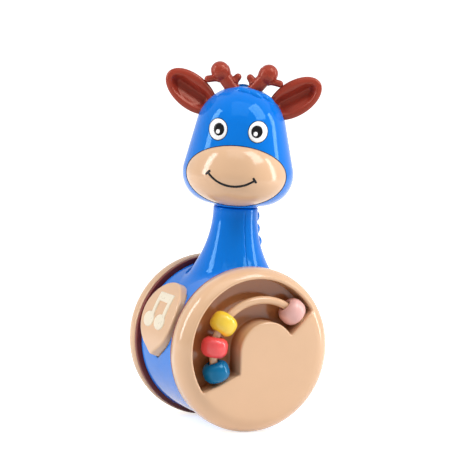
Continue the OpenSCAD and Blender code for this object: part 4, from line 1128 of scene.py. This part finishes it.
def pocket_painted_shade():
    """Colour as it comes, times a painted shade colour where a point lies deep in a wheel's pocket:
    near the pocket's floor along the axle, and inside the rim about it."""
    tree, into, out = new_group(
        "pocket_painted_shade", [("Color", COLOUR, WHITE), ("Painted Shade", COLOUR, WHITE)], [("Color", COLOUR)])
    where = add(tree, "TexCoord").outputs["Object"]
    split = add(tree, "SeparateXYZ", {0: where}).outputs
    drop = maths(tree, "SUBTRACT", split["Z"], AXLE_Z * MM)
    flat = add(tree, "CombineXYZ", {"X": split["Y"], "Y": drop}).outputs[0]
    span = add(tree, "VectorMath", {0: flat}, operation="LENGTH").outputs["Value"]
    near = ramp(tree, maths(tree, "ABSOLUTE", split["X"]), SHADE_FULL, SHADE_NONE, 1.0, 0.0)
    inside = ramp(tree, span, SHADE_IN, SHADE_OUT, 1.0, 0.0)
    mix = add(tree, "Mix", {"Factor": maths(tree, "MULTIPLY", near, inside), "A": into["Color"],
                            "B": into["Painted Shade"]}, data_type="RGBA", blend_type="MULTIPLY")
    feed(tree, out, {"Color": mix.outputs["Result"]})
    return tree


SKIN, POCKET_SHADE = moulded_skin(), pocket_painted_shade()
print("groups", SKIN.name, POCKET_SHADE.name)

# %% Plastics and metals
BUMP_STRENGTH, BUMP_DEEP, COAT_ROUGH = 0.05, 0.0004, 0.04


def linear(*rgb):
    """Screen colour 0-255 to the linear colour that shaders use."""
    c = np.array(rgb, float) / 255
    return tuple(np.where(c <= 0.04045, c / 12.92, ((c + 0.055) / 1.055) ** 2.4)) + (1.0,)


def plastic(name, rgb, rough, spread, coat=0.0, metal=0.0, shade=0.88, shine=0.5, tint=(1, 1, 1),
            pocket_shade=None):
    """A material with the shared skin: base colour and a deeper tone of it, gloss, ripple and a
    clear coat; a painted shade, when given, is multiplied in deep in the wheels' pockets."""
    mat = bpy.data.materials.new(name)
    mat.use_nodes = True
    tree = mat.node_tree
    base = linear(*rgb)
    skin = add(tree, "Group", node_tree=SKIN)
    feed(tree, skin, {"Base": base, "Deep": tuple(v * shade for v in base[:3]) + (1.0,),
                      "Rough": rough, "Rough Spread": spread})
    colour = skin.outputs["Color"]
    # painted shade deep in the wheels' pockets, multiplied into the colour
    if pocket_shade:
        colour = add(tree, "Group", {"Painted Shade": pocket_shade + (1.0,), "Color": colour},
                     node_tree=POCKET_SHADE).outputs["Color"]
    bump = add(tree, "Bump", {"Strength": BUMP_STRENGTH, "Distance": BUMP_DEEP,
                              "Height": skin.outputs["Ripple"]})
    feed(tree, tree.nodes["Principled BSDF"], {
        "Base Color": colour, "Roughness": skin.outputs["Roughness"],
        "Normal": bump.outputs["Normal"], "Metallic": metal, "Coat Weight": coat,
        "Coat Roughness": COAT_ROUGH, "Specular IOR Level": shine, "Specular Tint": tint + (1.0,)})
    return mat


FINISH = {
    "blue_plastic": plastic("deer_blue_gloss", (0, 121, 226), 0.04, 0.03, shine=0.3,
                            tint=(0.3, 0.75, 1.0)),
    # the beige carries painted shade deep in the wheels' pockets
    "beige_plastic": plastic("wheel_beige_gloss", (228, 185, 146), 0.13, 0.05,
                             pocket_shade=(0.58, 0.38, 0.24)),
    "rust_plastic": plastic("ear_rust_satin", (158, 56, 40), 0.2, 0.06, shine=0.4,
                            tint=(1.0, 0.55, 0.42)),
    "dark_plastic": plastic("plate_dark_gloss", (126, 46, 36), 0.2, 0.06, shine=0.3),
    "cream_plastic": plastic("note_cream", (240, 228, 204), 0.25, 0.06),
    "white_plastic": plastic("eye_white_gloss", (248, 248, 248), 0.12, 0.04, 0.3, shade=0.97),
    "black_plastic": plastic("pupil_black_gloss", (10, 9, 12), 0.12, 0.05, shine=0.2),
    "bead_yellow": plastic("bead_yellow_gloss", (255, 214, 66), 0.06, 0.04, shine=0.4),
    "bead_red": plastic("bead_coral_gloss", (250, 84, 86), 0.05, 0.03, shine=0.4),
    "bead_blue": plastic("bead_teal_gloss", (0, 108, 158), 0.04, 0.02, shine=0.35,
                         tint=(0.4, 0.8, 1.0)),
    "bead_pink": plastic("bead_pink_satin", (236, 182, 174), 0.26, 0.06),
    "steel": plastic("screw_steel", (188, 188, 192), 0.25, 0.1, metal=1.0),
    "iron": plastic("weight_iron", (84, 84, 88), 0.55, 0.15, metal=1.0),
    "brass": plastic("contact_brass", (200, 160, 84), 0.25, 0.1, metal=1.0),
    "board": plastic("board_green", (24, 92, 56), 0.45, 0.1),
    "black_matte": plastic("switch_black", (22, 22, 24), 0.5, 0.1),
}


def finish(piece, slot):
    """Give a piece its slot's finish in place of any other."""
    piece.data.materials.clear()
    piece.data.materials.append(FINISH[slot])


for part in frame["record"]["subparts"]:
    finish(nodes[part["node"]], part["material_slot"])
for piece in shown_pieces():
    if "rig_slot" in piece:
        finish(piece, piece["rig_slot"])

# %% [markdown]
# Stage, light and camera
#
# The toy stands on a plain white floor in a white room. The white is for the eye alone: rays
# that only carry light find a dimmer room, so the toy keeps its colours and its shadow. Soft
# boxes give the long window highlights on the gloss. The camera stands where the photograph
# was taken from.

# %% Floor
FLOOR_REACH, FADE_FROM, FADE_TO, GLOW_NEAR = 6.0, 0.15, 1.0, 0.74


def to_the_eye(tree):
    """1 for rays that the eye follows: straight, off a shine or through glass; 0 for rays that
    only carry light."""
    path = add(tree, "LightPath").outputs
    seen = path["Is Camera Ray"]
    for ray in ("Is Glossy Ray", "Is Transmission Ray"):
        seen = maths(tree, "MAXIMUM", seen, path[ray])
    return seen


floor_mesh = bpy.data.meshes.new("studio_floor")
floor_mesh.from_pydata([(x * FLOOR_REACH, y * FLOOR_REACH, 0)
                        for x, y in ((-1, -1), (1, -1), (1, 1), (-1, 1))], [], [(0, 1, 2, 3)])
floor = shown("studio_floor", floor_mesh)
paper = bpy.data.materials.new("floor_paper")
paper.use_nodes = True
tree = paper.node_tree
where = add(tree, "TexCoord").outputs["Object"]
away = add(tree, "VectorMath", {0: where}, operation="LENGTH").outputs["Value"]
fade = ramp(tree, away, FADE_FROM, FADE_TO, GLOW_NEAR, 1.0)
feed(tree, tree.nodes["Principled BSDF"], {
    "Base Color": (0.9, 0.9, 0.9, 1), "Roughness": 0.9, "Specular IOR Level": 0.1,
    "Emission Color": WHITE, "Emission Strength": maths(tree, "MULTIPLY", fade, to_the_eye(tree))})
floor_mesh.materials.append(paper)
print("floor", 2 * FLOOR_REACH, "m wide")

# %% World
ROOM_LIGHT = 0.2
world = bpy.data.worlds.new("white_room")
bpy.context.scene.world = world
world.use_nodes = True
tree = world.node_tree
feed(tree, tree.nodes["Background"], {
    "Color": WHITE, "Strength": ramp(tree, to_the_eye(tree), 0.0, 1.0, ROOM_LIGHT, 1.0)})
print("room light", ROOM_LIGHT)

# %% Camera
AZ, EL, ROLL, DIST = 63.8, 6.6, 3.7, 1.8
FRAME_PX, MM_PER_PX, SENSOR = 450, 0.561, 36.0
LOOK_LEFT, LOOK_UP = 5.3, 64.9


def direction(az, el):
    """From the toy towards a stand at an azimuth and elevation in degrees; azimuth 0 is in
    front, at -y."""
    (c, s), (level, up) = unit(az), unit(el)
    return np.array([s * level, -c * level, up])


def stand(obj, right, up, back, at):
    """Place an object by its own three axes and its point, in metres."""
    place = np.eye(4)
    place[:3] = np.stack([right, up, back, at], -1)
    obj.matrix_world = Matrix(place)


back_dir, right_dir = direction(AZ, EL), np.append(unit(AZ), 0.0)
up_dir = np.cross(back_dir, right_dir)
target = (np.array([0, 0, AXLE_Z]) - LOOK_LEFT * right_dir + LOOK_UP * up_dir) * MM
camera = shown("camera", bpy.data.cameras.new("camera"))
c, s = unit(ROLL)
stand(camera, c * right_dir + s * up_dir, c * up_dir - s * right_dir, back_dir,
      target + DIST * back_dir)
camera.data.sensor_width = SENSOR
camera.data.lens = SENSOR / 2 * DIST / MM / (MM_PER_PX * FRAME_PX / 2)
camera.data.clip_start, camera.data.clip_end = 0.05, 50
bpy.context.scene.camera = camera
print("lens", round(camera.data.lens, 1))

# %% Soft boxes
LAMP_AIM = np.array([0, 0, 0.1])


def soft_box(name, az, el, dist, width, height, power):
    """A rectangular lamp at an azimuth and elevation as for the camera, aimed at the toy's
    middle."""
    d = direction(az, el)
    lamp = shown(name, bpy.data.lights.new(name, "AREA"))
    lamp.data.shape = "RECTANGLE"
    lamp.data.size, lamp.data.size_y, lamp.data.energy = width, height, power
    across = np.cross([0, 0, 1.0], d)
    across /= np.linalg.norm(across)
    stand(lamp, across, np.cross(d, across), d, LAMP_AIM + d * dist)
    print(name, power, "W")


soft_box("right_box", 126, 52, 1.1, 0.5, 0.7, 8)
soft_box("side_box", 158, 16, 1.1, 0.2, 0.9, 5)
soft_box("left_box", -16, 24, 1.1, 0.26, 0.9, 7.5)
soft_box("front_fill", 56, 66, 2.0, 1.4, 1.4, 8)

# %% View transform
bpy.context.scene.view_settings.view_transform = "Standard"
bpy.context.view_layer.update()
